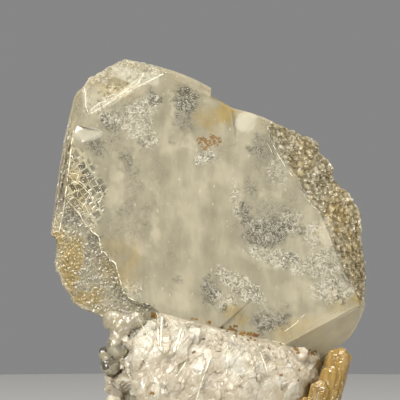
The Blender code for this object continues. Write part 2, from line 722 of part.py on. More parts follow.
def main():
    clear_scene()
    parts = add_collection("barite_crystal", False)
    work = add_collection("construction", True)
    plate = make_plate(parts, work)
    crust = make_crust(parts, work)
    amber = make_small_group("amber_crystal", amber_columns(0.0, work), parts, work)
    clear = make_small_group("clear_side_crystals", clear_lobes(0.0, work), parts, work)
    stand_on_origin([plate, crust, amber, clear])
    bpy.data.collections.remove(work)


if __name__ == "__main__":
    main()
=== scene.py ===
"""Barite crystal specimen: a clear to milky tabular crystal on a crust of small pale crystals.

The solids of the frame give the main shapes. The tabular crystal and the small glassy groups are
meshed again with small even triangles, so that etch steps, growth hillocks and flutes stand in
the surface itself. Windows, veils, cracks and honey rims are zones of its colour and fine relief.
Positions below are in millimetres: X to the right, Z up, seen from the front.
"""

import itertools
import math
import random

import bmesh
import bpy
import numpy as np
from bpy.props import FloatProperty, FloatVectorProperty, PointerProperty
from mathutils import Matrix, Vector
from mathutils.bvhtree import BVHTree
from mathutils.geometry import delaunay_2d_cdt


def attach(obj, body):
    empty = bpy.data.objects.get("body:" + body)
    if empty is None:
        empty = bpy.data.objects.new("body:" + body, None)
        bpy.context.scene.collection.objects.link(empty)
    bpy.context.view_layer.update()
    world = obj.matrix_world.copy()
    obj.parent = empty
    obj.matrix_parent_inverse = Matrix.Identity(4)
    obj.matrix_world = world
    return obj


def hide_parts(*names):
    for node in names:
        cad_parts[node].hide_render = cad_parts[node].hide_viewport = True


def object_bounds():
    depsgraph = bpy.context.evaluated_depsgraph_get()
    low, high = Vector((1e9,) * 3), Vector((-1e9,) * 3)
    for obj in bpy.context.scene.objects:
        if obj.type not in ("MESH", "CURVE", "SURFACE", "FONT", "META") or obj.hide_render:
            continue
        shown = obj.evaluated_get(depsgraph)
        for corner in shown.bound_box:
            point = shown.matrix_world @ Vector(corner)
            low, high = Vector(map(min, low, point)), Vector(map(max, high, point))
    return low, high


bl_info = {
    "name": "Barite crystal specimen",
    "version": (1, 0, 0),
    "blender": (4, 5, 0),
    "location": "3D View > Sidebar > Barite",
    "description": "Dresses the tabular barite crystal, its crust and its small glassy crystals",
    "category": "Add Mesh",
}

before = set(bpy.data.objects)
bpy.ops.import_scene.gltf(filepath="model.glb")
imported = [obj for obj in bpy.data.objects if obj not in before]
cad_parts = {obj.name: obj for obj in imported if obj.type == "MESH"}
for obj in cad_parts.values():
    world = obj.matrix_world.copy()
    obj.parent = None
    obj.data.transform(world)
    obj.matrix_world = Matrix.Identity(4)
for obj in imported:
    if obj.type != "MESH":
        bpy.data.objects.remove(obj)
CAD_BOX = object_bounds()
MM = 0.001
BARITE_IOR = 1.64
BUMP_DEPTH = 0.1 * MM

# The tabular crystal's front, as outlines (x, z)
PLATE_OUTLINE = [
    (-31.5, 45.2), (-29.5, 60), (-27.9, 68.2), (-26.9, 72.6), (-24.1, 76.4), (-19.4, 79.2), (-17.3, 80.4),
    (-8.7, 78.4), (0.5, 74.4), (4.7, 70.4), (14, 67.1), (22, 63.4), (24.9, 58.6), (30.1, 50.3), (31.5, 36),
    (30.3, 28.2), (25.5, 19.2), (22, 17.2), (-8, 24.6), (-20.2, 28.2), (-27.1, 31.6), (-30.7, 39.4),
]
RIGHT_STEPS = [
    (11.9, 66.4), (12.5, 64), (14.7, 60), (17.5, 56.8), (19.1, 52.8), (22.1, 49.8), (25.1, 42), (27.1, 37.4),
    (28.7, 34.8), (29.9, 31.6), (33, 31), (33, 50), (27, 60), (22, 67), (13, 68.5),
]
CROWN = [(-24.4, 68.4), (-8, 77.6), (-8, 82), (-28, 82), (-27.5, 74)]
LEFT_STRIP = [(-34, 44), (-31, 72), (-27.6, 67), (-28.8, 51)]
LEFT_MOSAIC = [
    (-27.6, 63), (-24.5, 62), (-22, 57), (-20.3, 54), (-20.8, 49), (-23.2, 46.2), (-25.4, 49.2), (-28.4, 52.8),
]
LOWER_LEFT = [
    (-34, 52), (-27.3, 51.2), (-24.5, 47.4), (-21.7, 44.8), (-20.3, 41.4), (-18.4, 39.4), (-17, 34.2), (-14.5, 32),
    (-11, 31), (-14, 24), (-30, 24), (-34, 40),
]

# Its kinds of surface: outline and softness of the border
PLATE_PARTS = {
    "steps": (RIGHT_STEPS, 0.8), "crown": (CROWN, 0.3), "lower": (LOWER_LEFT, 0.3), "mosaic": (LEFT_MOSAIC, 0.9),
    "strip": (LEFT_STRIP, 0.3),
}

# Facets of each kind of surface: cell size, seed, step, tilt and how long the cells are drawn out upwards
FACETS = {
    "steps": (0.85, 3, 0.34, 0.35, 1), "crown": (0.7, 5, 0.16, 0.3, 1), "lower": (0.55, 7, 0.1, 0.3, 1),
    "mosaic": (1.5, 9, 0.1, 0.05, 1), "back": (1.3, 11, 0.1, 0.08, 0.6), "crackle": (0.5, 15, 0.6, 0.5, 1),
    "crust": (2.1, 31, 0.4, 0.28, 0.6), "fine crust": (0.9, 33, 0.14, 0.2, 0.7),
    "collar": (1.8, 41, 0.3, 0.28, 0.6), "fine collar": (0.8, 43, 0.12, 0.25, 1),
    "skin": (2.6, 51, 0.2, 0.16, 0.6), "fine skin": (1.0, 53, 0.06, 0.12, 0.7), "amber": (0.9, 4, 0.2, 0.25, 1),
}

# Zones of the tabular crystal: x, z, half width, half height, turn in degrees, strength
CROWN_FLAT = [
    (-22.2, 73.4, 1.9, 2.5, -10, 0.95), (-17.9, 75.6, 2.5, 0.9, 0, 0.95), (-14.6, 78.4, 3.6, 0.8, -12, 0.6),
    (-26, 71.5, 1.2, 3.4, 5, 0.9),
]
WINDOWS = [
    (-19.7, 67.4, 2.2, 1.2, -30, 0.75), (-22.3, 62.4, 1.4, 2.2, 25, 0.55), (-10.7, 71.8, 1.6, 1, 25, 0.85),
    (-4.5, 71.8, 2.2, 2.6, 0, 0.85), (-5.5, 70.6, 1.2, 1.2, 0, 0.95), (-4.9, 67.4, 2, 1.6, 0, 0.45),
    (-13.5, 62.8, 0.6, 1.8, 10, 0.5), (-7.1, 63.8, 0.6, 1, 0, 0.5), (7.1, 49.6, 1, 2.6, 10, 0.75),
    (11.5, 45.6, 4.2, 3, 10, 0.8), (10.7, 62, 2.6, 3, -20, 0.45), (17.3, 46.8, 1.6, 2.2, 20, 0.6),
    (-0.1, 60.6, 1.8, 1.2, 0, 0.5), (16.5, 40.8, 1.4, 0.8, -20, 0.8), (0.1, 34.2, 1.4, 2.4, 20, 0.75),
    (2.9, 30, 1, 0.8, 0, 0.6), (12.3, 27.8, 3.6, 1.8, 8, 0.75), (12.5, 27.4, 1, 1.2, 0, 0.9),
    (27.3, 37, 0.8, 1.6, 30, 0.75), (26.3, 33, 1, 1.2, 0, 0.5), (-26.9, 48.8, 2.6, 1.6, 20, 0.6),
    (-17.7, 33.6, 1.6, 1.8, 0, 0.5), (-12.1, 31.1, 0.8, 0.2, 10, 0.9), (-5.9, 35.8, 0.8, 0.8, 0, 0.6),
    (-20.5, 40.8, 1.2, 1, 40, 0.45), (-22.9, 44.2, 1.4, 1, 40, 0.5), (-25.3, 55, 2.4, 4.8, -15, 0.45),
    (-16.1, 50.8, 1.2, 2.4, -25, 0.25), (-11.7, 49, 1.6, 3.2, 0, 0.22), (-16.1, 60, 1.4, 2.8, 15, 0.3),
    (8.3, 54, 1.8, 2.4, 0, 0.3),
]
HAZE_AND_SHADE = [
    (11.5, 47.5, 6.5, 4.8, 10, 0.7), (12.5, 60, 4, 5, -20, 0.6), (-21, 64, 4.2, 3.4, 20, 0.9),
    (-15.2, 56.5, 1.8, 4.6, 8, 0.6), (-3.6, 71.5, 3.2, 3, 0, 0.7), (-16, 47, 5, 3.4, -25, 0.45),
    (1.5, 33.5, 3.2, 3.2, 20, 0.5), (12.3, 28.6, 4.6, 2.6, 8, 0.7), (26.4, 35, 2.2, 3.4, 10, 0.6),
    (-22, 38.5, 5, 6, 20, 0.5), (-25.2, 55, 2.6, 6.4, -15, 0.7), (-11, 60, 2, 6, 12, 0.35), (-4, 66, 3, 2.2, 0, 0.4),
    (22, 38, 3, 3, 0, 0.4), (17, 52, 3, 3.4, -20, 0.3), (-9, 41, 3, 3.6, 0, 0.3), (4.4, 62.4, 2.6, 1.8, -25, 0.35),
    # Painted shade: the grey facets just under the crown's edge
    (-17.9, 75.6, 2.3, 0.7, 0, 0.9), (-16, 70, 7.5, 1.8, 29, 0.75), (-26, 71.5, 1, 3.2, 5, 0.8),
]
HONEY = [
    (-27.7, 38.4, 2.2, 6.4, -12, 1), (-24.5, 32, 4, 1.8, 28, 0.85), (-29.7, 44, 1.2, 2.4, 0, 0.7),
    (3.5, 69.6, 1.8, 2.6, -30, 0.8), (0.3, 68.4, 2.8, 2.4, 0, 0.5), (-17.7, 39.6, 4.4, 5.6, 10, 0.35),
    (18.3, 26.4, 6, 2, 12, 0.42), (27.3, 28, 2.8, 5.2, 25, 0.5), (29.5, 32.6, 1, 1.4, 0, 0.95),
    (5.5, 29.4, 2.6, 1.6, -40, 0.6), (25.9, 50, 2.8, 5.2, -10, 0.45), (28.7, 41, 2, 5.6, 0, 0.4),
    (19.3, 60, 2.8, 4, -30, 0.35), (23.3, 45.6, 1.6, 2.8, 0, 0.55), (-18.1, 75, 4.4, 2.8, -25, 0.28),
    (-26.1, 54, 2, 4.8, 0, 0.4), (-22.3, 74.4, 1.8, 1.8, 0, 0.3),
]
# Painted highlights: glints on the facets that face up and to the left, and light laid on the lower right facet,
# which faces down
PAINTED_GLINTS = [
    (-23.9, 65, 2.6, 1.2, 4, 0.9), (7.5, 67.6, 2.2, 1.8, 40, 0.9), (23.3, 45.4, 1.4, 2.6, 10, 0.8),
    (25, 24, 9.5, 5, 32, 0.5), (-16.1, 76.8, 4, 1.2, -20, 0.55), (-24.7, 72, 0.6, 2, 10, 0.4),
    (-11.7, 76, 2, 1, -28, 0.6), (-17, 73.5, 4.4, 0.3, 30, 0.85), (-15.2, 75.1, 3.2, 0.22, 32, 0.8),
    (-18.2, 71.7, 5.2, 0.2, 30, 0.6), (-22.4, 73.2, 1.4, 1.8, -10, 0.3),
]
CRACKLE = [
    (-14.1, 68, 3.2, 4, -20, 0.8), (-11.3, 71.2, 2, 1.6, 0, 0.8), (-19.3, 68, 2.4, 1.8, -20, 0.7),
    (16.3, 39.6, 9.2, 1.8, -18, 0.9), (6.3, 35, 5.2, 2, -35, 0.95), (2.7, 32, 2.8, 1.8, -30, 0.9),
    (22.3, 39.6, 4, 2.8, 15, 0.8), (24.3, 34, 4, 2.4, 0, 0.75), (20.7, 45, 1.8, 2.8, 0, 0.8),
    (14.3, 58, 2.4, 3.6, -30, 0.5), (10.3, 46, 3.6, 2.8, 0, 0.55), (-0.7, 60.4, 2.4, 1.4, 0, 0.7),
    (-16.1, 34, 3.2, 2, 20, 0.5), (5.3, 52, 1, 4.8, 5, 0.4), (10.7, 28.4, 3.2, 2, 0, 0.35),
    (-11.7, 64, 2, 1.6, 0, 0.7), (16.3, 47.6, 2.8, 2.4, 0, 0.5),
]
VEILS = [
    (-18.3, 57.3, 1.3, 1.9, 0, 0.7), (-18.8, 51.5, 1.4, 3.4, 10, 0.6), (-8, 64.5, 2.6, 3.4, 0, 0.6),
    (-4, 63.8, 1.3, 1.5, 5, 0.8), (-7.2, 71.4, 0.5, 3, 4, 0.9), (-11, 56, 0.7, 4.5, 14, 0.5),
    (-3, 52, 2.6, 7, -8, 0.5), (3, 57, 2.2, 2.6, 30, 0.5), (9.6, 40.2, 5, 1, -20, 0.5), (-14, 43, 3.4, 1.2, -35, 0.6),
    (17.5, 34, 4.4, 1.8, 0, 0.5), (13, 52.4, 3.2, 1, -24, 0.5), (-6, 32, 4.6, 1.8, -8, 0.5),
    (20.6, 28.6, 4, 1.4, 30, 0.5), (-10.6, 46.5, 0.8, 3.6, 4, 0.6),
]
RUST = [
    (-0.3, 63.4, 1.8, 1, -10, 0.9), (1.1, 64.2, 1.2, 0.8, -20, 0.8), (-0.7, 62.6, 1, 0.6, 0, 0.7),
    (25.7, 45.6, 0.4, 0.6, 0, 0.8),
]

# Zones of the crust's front, in the same order
CRUST_ZONES = {
    # Whiter patches, painted as highlight
    "white_highlight": [
        (-15.5, 21.8, 3.4, 1.3, -8, 0.9), (-12.4, 23.4, 2, 4.4, 0, 0.7), (5, 21, 2.6, 4, 5, 0.7),
        (-5.8, 24.4, 1.3, 3, 14, 0.8), (-3, 25.6, 2.2, 1.4, 0, 0.7), (10.6, 18.8, 1.6, 1, 0, 0.8),
        (14.4, 16.8, 1.8, 1, 0, 0.7), (-15, 16, 2.6, 2, 0, 0.35), (17, 14.2, 2, 1.4, 0, 0.5),
        (8.4, 24, 2, 0.8, -12, 0.4), (0.5, 25.4, 1.6, 1.4, 0, 0.5),
    ],
    # Painted pinkish shade of the crust
    "pink_painted_shade": [
        (1.4, 16.6, 3.2, 4.6, 0, 0.8), (-8.4, 24, 1.2, 3.6, 0, 0.7), (-6, 15.4, 3.4, 3.6, 0, 0.6),
        (13.4, 13.4, 1, 2, 0, 0.9), (-10, 17.2, 3, 2.6, 0, 0.5), (20, 18.6, 2.4, 3.8, 0, 0.35),
        # Painted shade: the bands turned by -14.7 degrees run along the tabular crystal's foot
        (9, 15, 2.2, 2.6, 0, 0.4), (-17.4, 18.4, 2, 1.8, 0, 0.4), (11, 22.6, 9, 1.6, -14.7, 0.9),
        (-4, 26.6, 4.6, 1.6, -14.7, 0.6), (18.5, 19.5, 3.4, 3, 0, 0.95),
    ],
    "hollow": [(-14.8, 27, 1.5, 1.8, 25, 0.9), (-12.4, 30.4, 1.4, 0.5, -10, 0.7), (6, 16, 0.5, 0.6, 0, 0.5)],
}

# Bright growth lines and cracks: half width, depth below the front face, points (x, z)
GROWTH_LINES = [
    (0.11, 0, [(-23.7, 68.8), (-20.9, 70.6), (-17.3, 72.6), (-13.7, 74.6), (-10.5, 76.2), (-8.3, 77.4)]),
    (0.08, 0, [(-23.3, 69.8), (-21.7, 71.2), (-18.5, 72.4), (-15.7, 74), (-13.9, 75.2), (-12.5, 77.8)]),
    (0.07, 0, [(-24.9, 74.8), (-24.5, 72.8), (-24.4, 70.8), (-23.7, 68.8)]),
    (0.06, 0, [(-22.1, 72), (-19.7, 72.6), (-17.3, 73.4), (-15.3, 74.8), (-14.1, 76.2)]),
    (0.05, 0, [(-20.5, 74.8), (-19.1, 74.5), (-17.3, 74.7), (-15.5, 75.8)]),
    (0.11, 0, [(-28.7, 52.8), (-27.3, 51.2), (-25.7, 49.4), (-24.5, 47.4), (-22.9, 45.6), (-21.7, 44.8),
        (-21.3, 42), (-20.3, 41.4), (-19.9, 40.6), (-18.4, 39.4), (-17.7, 36.8), (-17, 34.2), (-15.9, 32.8),
        (-14.5, 32), (-11.7, 31.3)]),
    (0.06, 0, [(-26.1, 56), (-24.5, 54.8), (-23.3, 53.4), (-22.7, 52)]),
    (0.045, 0, [(-28.5, 56), (-26.9, 55.8), (-25.3, 55), (-23.7, 53.4), (-22.9, 52)]),
    (0.045, 0, [(-27.7, 57.4), (-25.7, 57), (-24.1, 56.4), (-22.7, 56.8)]),
    (0.04, 0, [(-26.3, 55.6), (-25.7, 57.2), (-25.3, 58.8)]), (0.04, 0, [(-24.5, 54.4), (-23.7, 56), (-22.9, 57.6)]),
    (0.04, 0, [(-27.3, 60), (-25.7, 59), (-24.3, 59.2), (-24.5, 57.6)]),
    (0.04, 0, [(-27.7, 52.8), (-26.1, 52.4), (-24.5, 51), (-23.7, 49.4)]),
    (0.035, 0, [(-26.7, 51.2), (-26.1, 52.4), (-25.7, 54.4)]),
    (0.035, 0, [(-25.1, 50.2), (-24.3, 52), (-23.5, 53.2)]),
    (0.1, 0, [(-26.8, 66), (-27.5, 60), (-28.15, 54), (-29, 49), (-29.8, 45.6)]),
    (0.04, 0, [(-27.5, 68), (-28.5, 62), (-29.3, 56), (-30.3, 49.6), (-30.9, 46)]),
    (0.035, 0, [(-26.5, 65.6), (-27.3, 61), (-27.9, 56.4), (-28.5, 52.6)]),
    (0.06, 1.2, [(5.9, 54.2), (6.3, 52), (5.7, 49.6), (4.7, 47.2), (3.7, 45), (3.9, 42.8), (4.9, 40.6), (6.7, 37.4)]),
    (0.04, 1.8, [(4.1, 54), (4.7, 51), (4.3, 48.4)]),
    (0.05, 1.5, [(-7.7, 62), (-7.9, 59), (-8.9, 56), (-10.3, 53.2), (-11.1, 52)]),
    (0.08, 1, [(-6.1, 76.8), (-6.9, 75), (-6.9, 73), (-7.5, 71), (-7.9, 69.6)]),
    (0.05, 1, [(-6.7, 68.4), (-4.1, 68.8), (-2.1, 69.6)]), (0.04, 1.2, [(-5.7, 65.4), (-3.7, 65.8), (-2.1, 66.6)]),
    (0.055, 0.4, [(17.8, 38.6), (18.9, 38.4), (19.7, 37.7), (20.5, 37.4), (21.5, 38), (22.5, 38.2), (24.7, 37.4)]),
    (0.055, 0.4, [(20.1, 42), (20.9, 41.2), (21.5, 40.4), (22.5, 41), (23.5, 41.6), (24.5, 42.4)]),
    (0.05, 0.4, [(22.1, 37.6), (23.3, 36.6), (24.1, 35.8), (24.3, 34.6), (23.5, 34), (22.5, 33.8)]),
    (0.06, 0.3, [(22.5, 32.4), (23.5, 32.2), (24.3, 32.4)]),
    (0.05, 0.6, [(9.5, 37), (10.7, 35.8), (10.7, 34), (9.9, 33.2)]),
    (0.045, 0.6, [(13.3, 34), (14.7, 33.8), (16.3, 34.2)]), (0.13, 0.2, [(-10, 44.8), (-10, 43.4), (-10.3, 42)]),
    (0.05, 0.6, [(-10.3, 42), (-11.7, 40.8), (-13.1, 39.6)]),
    (0.05, 1, [(-7.7, 39.4), (-8.7, 38.6), (-9.5, 37.4), (-10.1, 35.8), (-10.9, 34.2)]),
    (0.05, 0.8, [(-16.7, 51.4), (-15.5, 49.4), (-13.9, 46.8)]),
    (0.05, 0, [(19.1, 29.4), (18.1, 28.6), (17.5, 27.8), (15.7, 26.4), (14.1, 25.2)]),
    (0.05, 0, [(31.1, 31.2), (28.7, 30.2), (26.3, 28.8), (24.7, 28)]),
    (0.04, 0.2, [(8.1, 32), (6.3, 29), (5.3, 26.6)]), (0.04, 0.2, [(8.1, 32), (4.7, 30), (1.9, 27.8)]),
    (0.05, 0, [(12.3, 65.6), (12.7, 63), (13.9, 60.8), (15.3, 58.4), (16.9, 56.4)]),
    (0.05, 0, [(17.5, 56.8), (19.1, 52.8), (20.7, 50.8), (22.1, 49.4)]),
    (0.04, 0, [(10.9, 64.8), (11.9, 62.8), (12.7, 61)]),
    (0.05, 0, [(10.7, 24.5), (13.9, 23.8), (17.1, 22.8), (20.7, 22), (24.7, 21)]),
    (0.04, 0.8, [(-24.1, 63.6), (-22.3, 62.6), (-21.3, 60.4), (-21.7, 59)]),
    (0.04, 0.8, [(-17.7, 61), (-17.1, 58.8), (-17.3, 56.6), (-18.9, 55.2)]),
    (0.035, 0.8, [(-20.9, 60), (-19.3, 59.2), (-17.7, 59.6)]),
]

# Dark narrow hollows in the left strip
DARK_CRACKS = [
    (0.16, -0.2, [(-27.4, 63.7), (-27.6, 62.6), (-27.8, 61.6)]), (0.13, -0.2, [(-28.2, 60.5), (-28.4, 59.3)]),
    (0.18, -0.2, [(-28.5, 57.4), (-28.6, 56.7), (-28.7, 56)]), (0.24, -0.2, [(-29.1, 55), (-29.25, 54.4)]),
    (0.16, -0.2, [(-29.4, 53.7), (-29.5, 53.2)]), (0.13, -0.2, [(-27.1, 65.4), (-27.25, 64.8)]),
    (0.24, -0.1, [(-13, 31.6), (-12.2, 31.4), (-11.5, 31.1)]),
]

# White rods and bright crystal edges of the crust
CRUST_LINES = [
    (0.2, 0, [(-10.05, 29.4), (-10, 26.6), (-9.8, 23.2)]), (0.22, 0, [(-9.2, 29), (-9.3, 26), (-9.5, 23)]),
    (0.28, 0, [(-5.3, 26.9), (-6.1, 24.4), (-6.9, 22)]), (0.2, 0, [(-4.9, 26.2), (-5.6, 24.2), (-6.2, 22.4)]),
    (0.13, 0, [(0.5, 21.6), (-0.4, 19.2), (-1.5, 16.2), (-2.7, 12)]),
    (0.14, 0, [(-3.8, 21.4), (-5.4, 18.8), (-6.6, 17.4)]), (0.12, 0, [(-13.3, 27.6), (-12.1, 25.6), (-10.9, 23.8)]),
    (0.12, 0, [(9.6, 23.2), (11, 20), (11.4, 18.2)]), (0.12, 0, [(3.6, 24), (3.9, 21), (3.4, 18)]),
]

# Rust stains where the tabular crystal meets the crust, and on the crust: x, z, size
STAINS = [
    (-10.9, 29.2, 0.55), (-10.6, 28.7, 0.4), (-9.8, 25.8, 0.25), (-9.9, 24.6, 0.3), (-9.8, 23.6, 0.25),
    (-3.1, 28.5, 0.3), (-2.4, 28.4, 0.3), (0.1, 27.7, 0.35), (2.6, 26.6, 0.35), (3.8, 26.2, 0.35), (4.6, 26.6, 0.55),
    (5.3, 26.9, 0.45), (5.6, 25.8, 0.55), (6.6, 25.6, 0.6), (7.4, 25.4, 0.6), (8.2, 25.5, 0.5), (9, 25.3, 0.45),
    (9.7, 25.2, 0.35), (8, 24.6, 0.4), (9.1, 24.4, 0.35), (12, 22.7, 0.35), (14.3, 23.5, 0.3), (17.3, 22.6, 0.5),
    (17.5, 22.1, 0.35), (19.9, 21.9, 0.4), (21, 21.6, 0.5), (20.3, 21.5, 0.3), (-2.9, 22.2, 0.3), (-1, 24.6, 0.25),
    (-11.1, 14.4, 0.4), (14.1, 17.7, 0.35), (17.7, 18.6, 0.25), (17.5, 16.8, 0.22), (1.5, 12.4, 0.25),
]

# Pieces that crust lines and stains are laid on
CRUST_PIECES = ("crust_crystals", "small_crystals", "foot_crystals", "front_growth", "glassy_lobes")
CRUST_MIDDLE = (1.9, 0.0, 0.0)
AMBER_LEAN = (0.27, -0.03, 0.86)  # the way the amber columns lean, so that their flutes run along them

STRIP_COLOR = (0.36, 0.335, 0.28)
DASH_COLOR = (0.07, 0.065, 0.055)
RUST_FILM_COLOR = (0.36, 0.17, 0.025)
DARK_RUST_COLOR = (0.09, 0.03, 0.002)
CRUST_HOLLOW_COLOR = (0.12, 0.11, 0.085)
LOBE_COLOR = (0.6, 0.53, 0.37)
CRACK_COLORS = ((0.02, 0.02, 0.018), (0.06, 0.055, 0.045))


def smooth_step(low, high, value):
    t = np.clip((value - low) / (high - low), 0.0, 1.0)
    return t * t * (3.0 - 2.0 * t)


def inside_distance(points, outline):
    """How far each point (x, z) is inside the outline, negative outside."""
    a = np.array(outline, float)
    b = np.roll(a, -1, axis=0)
    best = np.full(len(points), 1e9)
    inside = np.zeros(len(points), bool)
    for (ax, az), (bx, bz) in zip(a, b):
        run = np.array([bx - ax, bz - az])
        rel = points - (ax, az)
        t = np.clip(rel @ run / max(run @ run, 1e-12), 0.0, 1.0)
        best = np.minimum(best, np.hypot(*(rel - t[:, None] * run).T))
        crosses = (az > points[:, 1]) != (bz > points[:, 1])
        edge_x = ax + (points[:, 1] - az) / (bz - az if bz != az else 1e-12) * (bx - ax)
        inside ^= crosses & (points[:, 0] < edge_x)
    return np.where(inside, best, -best)


def region(points, outline, soft):
    return smooth_step(-soft, soft, inside_distance(points[:, (0, 2)], outline))


def hashed(cells, seed):
    """A random number from 0 to 1 for each row of whole numbers."""
    mixed = (cells * np.array([127.1, 311.7, 74.7])).sum(axis=-1) + seed * 17.31
    value = np.sin(mixed) * 43758.5453
    return value - np.floor(value)


def facet_relief(points, kind):
    """Small flat cells at slightly different heights, each tilted its own way, in millimetres."""
    size, seed, step, tilt, stretch = FACETS[kind]
    scaled = points * (1, 1, stretch) / size
    base = np.floor(scaled)
    near = np.full(len(points), 9.0)
    offset = np.zeros_like(points)
    chance = np.zeros(len(points))
    for shift in itertools.product((-1, 0, 1), repeat=3):
        cell = base + shift
        rel = scaled - (cell + np.stack([hashed(cell, seed + k) for k in (1, 2, 3)], axis=1))
        distance = np.linalg.norm(rel, axis=1)
        closer = distance < near
        near = np.where(closer, distance, near)
        offset[closer] = rel[closer]
        chance = np.where(closer, hashed(cell, seed + 5), chance)
    lean = np.stack([np.sin(chance * 91.0), np.sin(chance * 57.0 + 1.0), np.sin(chance * 33.0 + 2.0)], axis=1)
    return step * (chance - 0.5) + tilt * size * (offset * lean).sum(axis=1)


def waves(points, size, seed):
    """Smooth drifting noise from about -1 to 1."""
    rng = random.Random(seed)
    total = np.zeros(len(points))
    for i in range(7):
        turn = np.array([rng.uniform(-1, 1) for _ in range(3)])
        turn *= (1.0 + 0.35 * i) / (size * np.linalg.norm(turn))
        bend = np.array([rng.uniform(-1, 1) for _ in range(3)]) / size
        phase = points @ turn * 3.0 + 1.3 * np.sin(points @ bend * 2.0 + i)
        total += np.sin(phase + rng.uniform(0, 6.28)) / (1.0 + 0.25 * i)
    return total / 3.0


def zone(points, patches, raggedness=0.45):
    """The strongest of the patches at each point, with ragged soft edges."""
    strength = np.zeros(len(points))
    x = points[:, 0] + raggedness * waves(points, 1.6, 21) + 0.5 * raggedness * waves(points, 0.6, 22)
    z = points[:, 2] + raggedness * waves(points, 1.7, 23) + 0.5 * raggedness * waves(points, 0.6, 24)
    for cx, cz, wide, high, turn, most in patches:
        c, s = math.cos(math.radians(turn)), math.sin(math.radians(turn))
        across = ((x - cx) * c + (z - cz) * s) / wide
        up = ((z - cz) * c - (x - cx) * s) / high
        strength = np.maximum(strength, most * smooth_step(1.35, 0.65, np.hypot(across, up)))
    return strength


def fine_mesh(node, name, spacing_at, seed):
    """The node's flat faces filled by small even triangles: mesh, points and normals, in millimetres."""
    bm = bmesh.new()
    bm.from_mesh(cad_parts[node].data)
    bmesh.ops.remove_doubles(bm, verts=bm.verts, dist=1e-7)
    bmesh.ops.dissolve_limit(bm, angle_limit=math.radians(0.3), verts=bm.verts, edges=bm.edges)
    bm.verts.index_update()
    bm.edges.index_update()
    places = [v.co / MM for v in bm.verts]
    samples = {}
    for edge in bm.edges:
        a, b = sorted(v.index for v in edge.verts)
        middle = (places[a] + places[b]) / 2
        count = max(1, round((places[b] - places[a]).length / spacing_at(middle)))
        ids = [a]
        for i in range(1, count):
            ids.append(len(places))
            places.append(places[a].lerp(places[b], i / count))
        samples[edge.index] = ids + [b]
    rng = np.random.default_rng(seed)
    triangles = []
    for face in bm.faces:
        ring = []
        for loop in face.loops:
            ids = samples[loop.edge.index]
            if ids[0] != loop.vert.index:
                ids = ids[::-1]
            ring += ids[:-1]
        triangles += fill_face(face, ring, places, spacing_at, rng)
    bm.free()
    mesh = mesh_from(name, places, triangles)
    return mesh, *vertex_arrays(mesh)


def fill_face(face, ring, places, spacing_at, rng):
    """Triangles over one flat face, with its new corners added to the places."""
    normal = face.normal
    across = normal.orthogonal().normalized()
    up = normal.cross(across)
    origin = places[ring[0]]
    flat = [((places[i] - origin).dot(across), (places[i] - origin).dot(up)) for i in ring]
    spacing = spacing_at(face.calc_center_median() / MM)
    border = np.array(flat)
    low, high = border.min(axis=0), border.max(axis=0)
    inner = []
    if min(high - low) > spacing:
        rows = np.arange(low[1], high[1], spacing * 0.87)
        columns = np.arange(low[0], high[0], spacing)
        grid = np.array([(x + (j % 2) * spacing / 2, y) for j, y in enumerate(rows) for x in columns])
        grid += rng.uniform(-0.2, 0.2, grid.shape) * spacing
        inner = grid[inside_distance(grid, flat) > 0.45 * spacing]
    ids = list(ring)
    for x, y in inner:
        ids.append(len(places))
        places.append(origin + across * x + up * y)
    points = [Vector(p) for p in flat] + [Vector(p) for p in inner]
    _, _, faces, origins, _, _ = delaunay_2d_cdt(points, [], [list(range(len(ring)))], 1, 1e-7)
    return [[ids[origins[c][0]] for c in corners] for corners in faces if all(origins[c] for c in corners)]


def mesh_from(name, places, triangles):
    mesh = bpy.data.meshes.new(name)
    mesh.from_pydata([tuple(p) for p in places], [], triangles)
    bm = bmesh.new()
    bm.from_mesh(mesh)
    bmesh.ops.remove_doubles(bm, verts=bm.verts, dist=1e-5)
    bmesh.ops.delete(bm, geom=[v for v in bm.verts if not v.link_faces])
    bmesh.ops.recalc_face_normals(bm, faces=bm.faces)
    bm.to_mesh(mesh)
    bm.free()
    return mesh


def vertex_arrays(mesh):
    """The mesh's points and normals."""
    found = []
    for name in ("co", "normal"):
        values = np.zeros(len(mesh.vertices) * 3, np.float32)
        mesh.vertices.foreach_get(name, values)
        found.append(values.reshape(-1, 3).astype(float))
    return found


def set_places(mesh, places):
    """Writes the points, given in millimetres, as metres inside the frame's box."""
    low, high = (np.array(corner) for corner in CAD_BOX)
    kept = np.clip(places * MM, low, high)
    mesh.vertices.foreach_set("co", kept.astype(np.float32).ravel())
    mesh.update()


def raise_points(mesh, points, normals, height):
    set_places(mesh, points + normals * height[:, None])


def store(mesh, values):
    """Named numbers from 0 to 1 for the mesh's vertices."""
    for name, numbers in values.items():
        if name in mesh.attributes:
            mesh.attributes.remove(mesh.attributes[name])
        attribute = mesh.attributes.new(name, "FLOAT", "POINT")
        attribute.data.foreach_set("value", np.clip(numbers, 0, 1).astype(np.float32))


def add_piece(name, mesh, material, replaced=()):
    mesh.materials.clear()
    mesh.materials.append(material)
    obj = bpy.data.objects.new(name, mesh)
    bpy.context.scene.collection.objects.link(obj)
    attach(obj, "root")
    if replaced:
        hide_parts(*replaced)
    return obj


def plate_masks(points, normals):
    """Where each kind of surface lies on the tabular crystal, from 0 to 1."""
    front = normals[:, 1] < 0.3
    masks = {name: region(points, outline, soft) * front for name, (outline, soft) in PLATE_PARTS.items()}
    masks["crown"] *= 1 - zone(points, CROWN_FLAT, 0.2)
    return {**masks, "back": 1.0 - front}


def plate_relief(points, masks, crackle):
    """Height of the etch over the flat layers, in millimetres."""
    height = sum(masks[kind] * facet_relief(points, kind) for kind in ("steps", "crown", "lower"))
    height += masks["mosaic"] * (1 - masks["lower"]) * facet_relief(points, "mosaic")
    height += masks["strip"] * 0.09 * np.sin(points[:, 0] * 9.0 + 0.1 * points[:, 2])
    height += masks["back"] * facet_relief(points, "back")
    return height - 0.12 * (masks["steps"] + masks["crown"]) + 0.12 * crackle * facet_relief(points, "crackle")


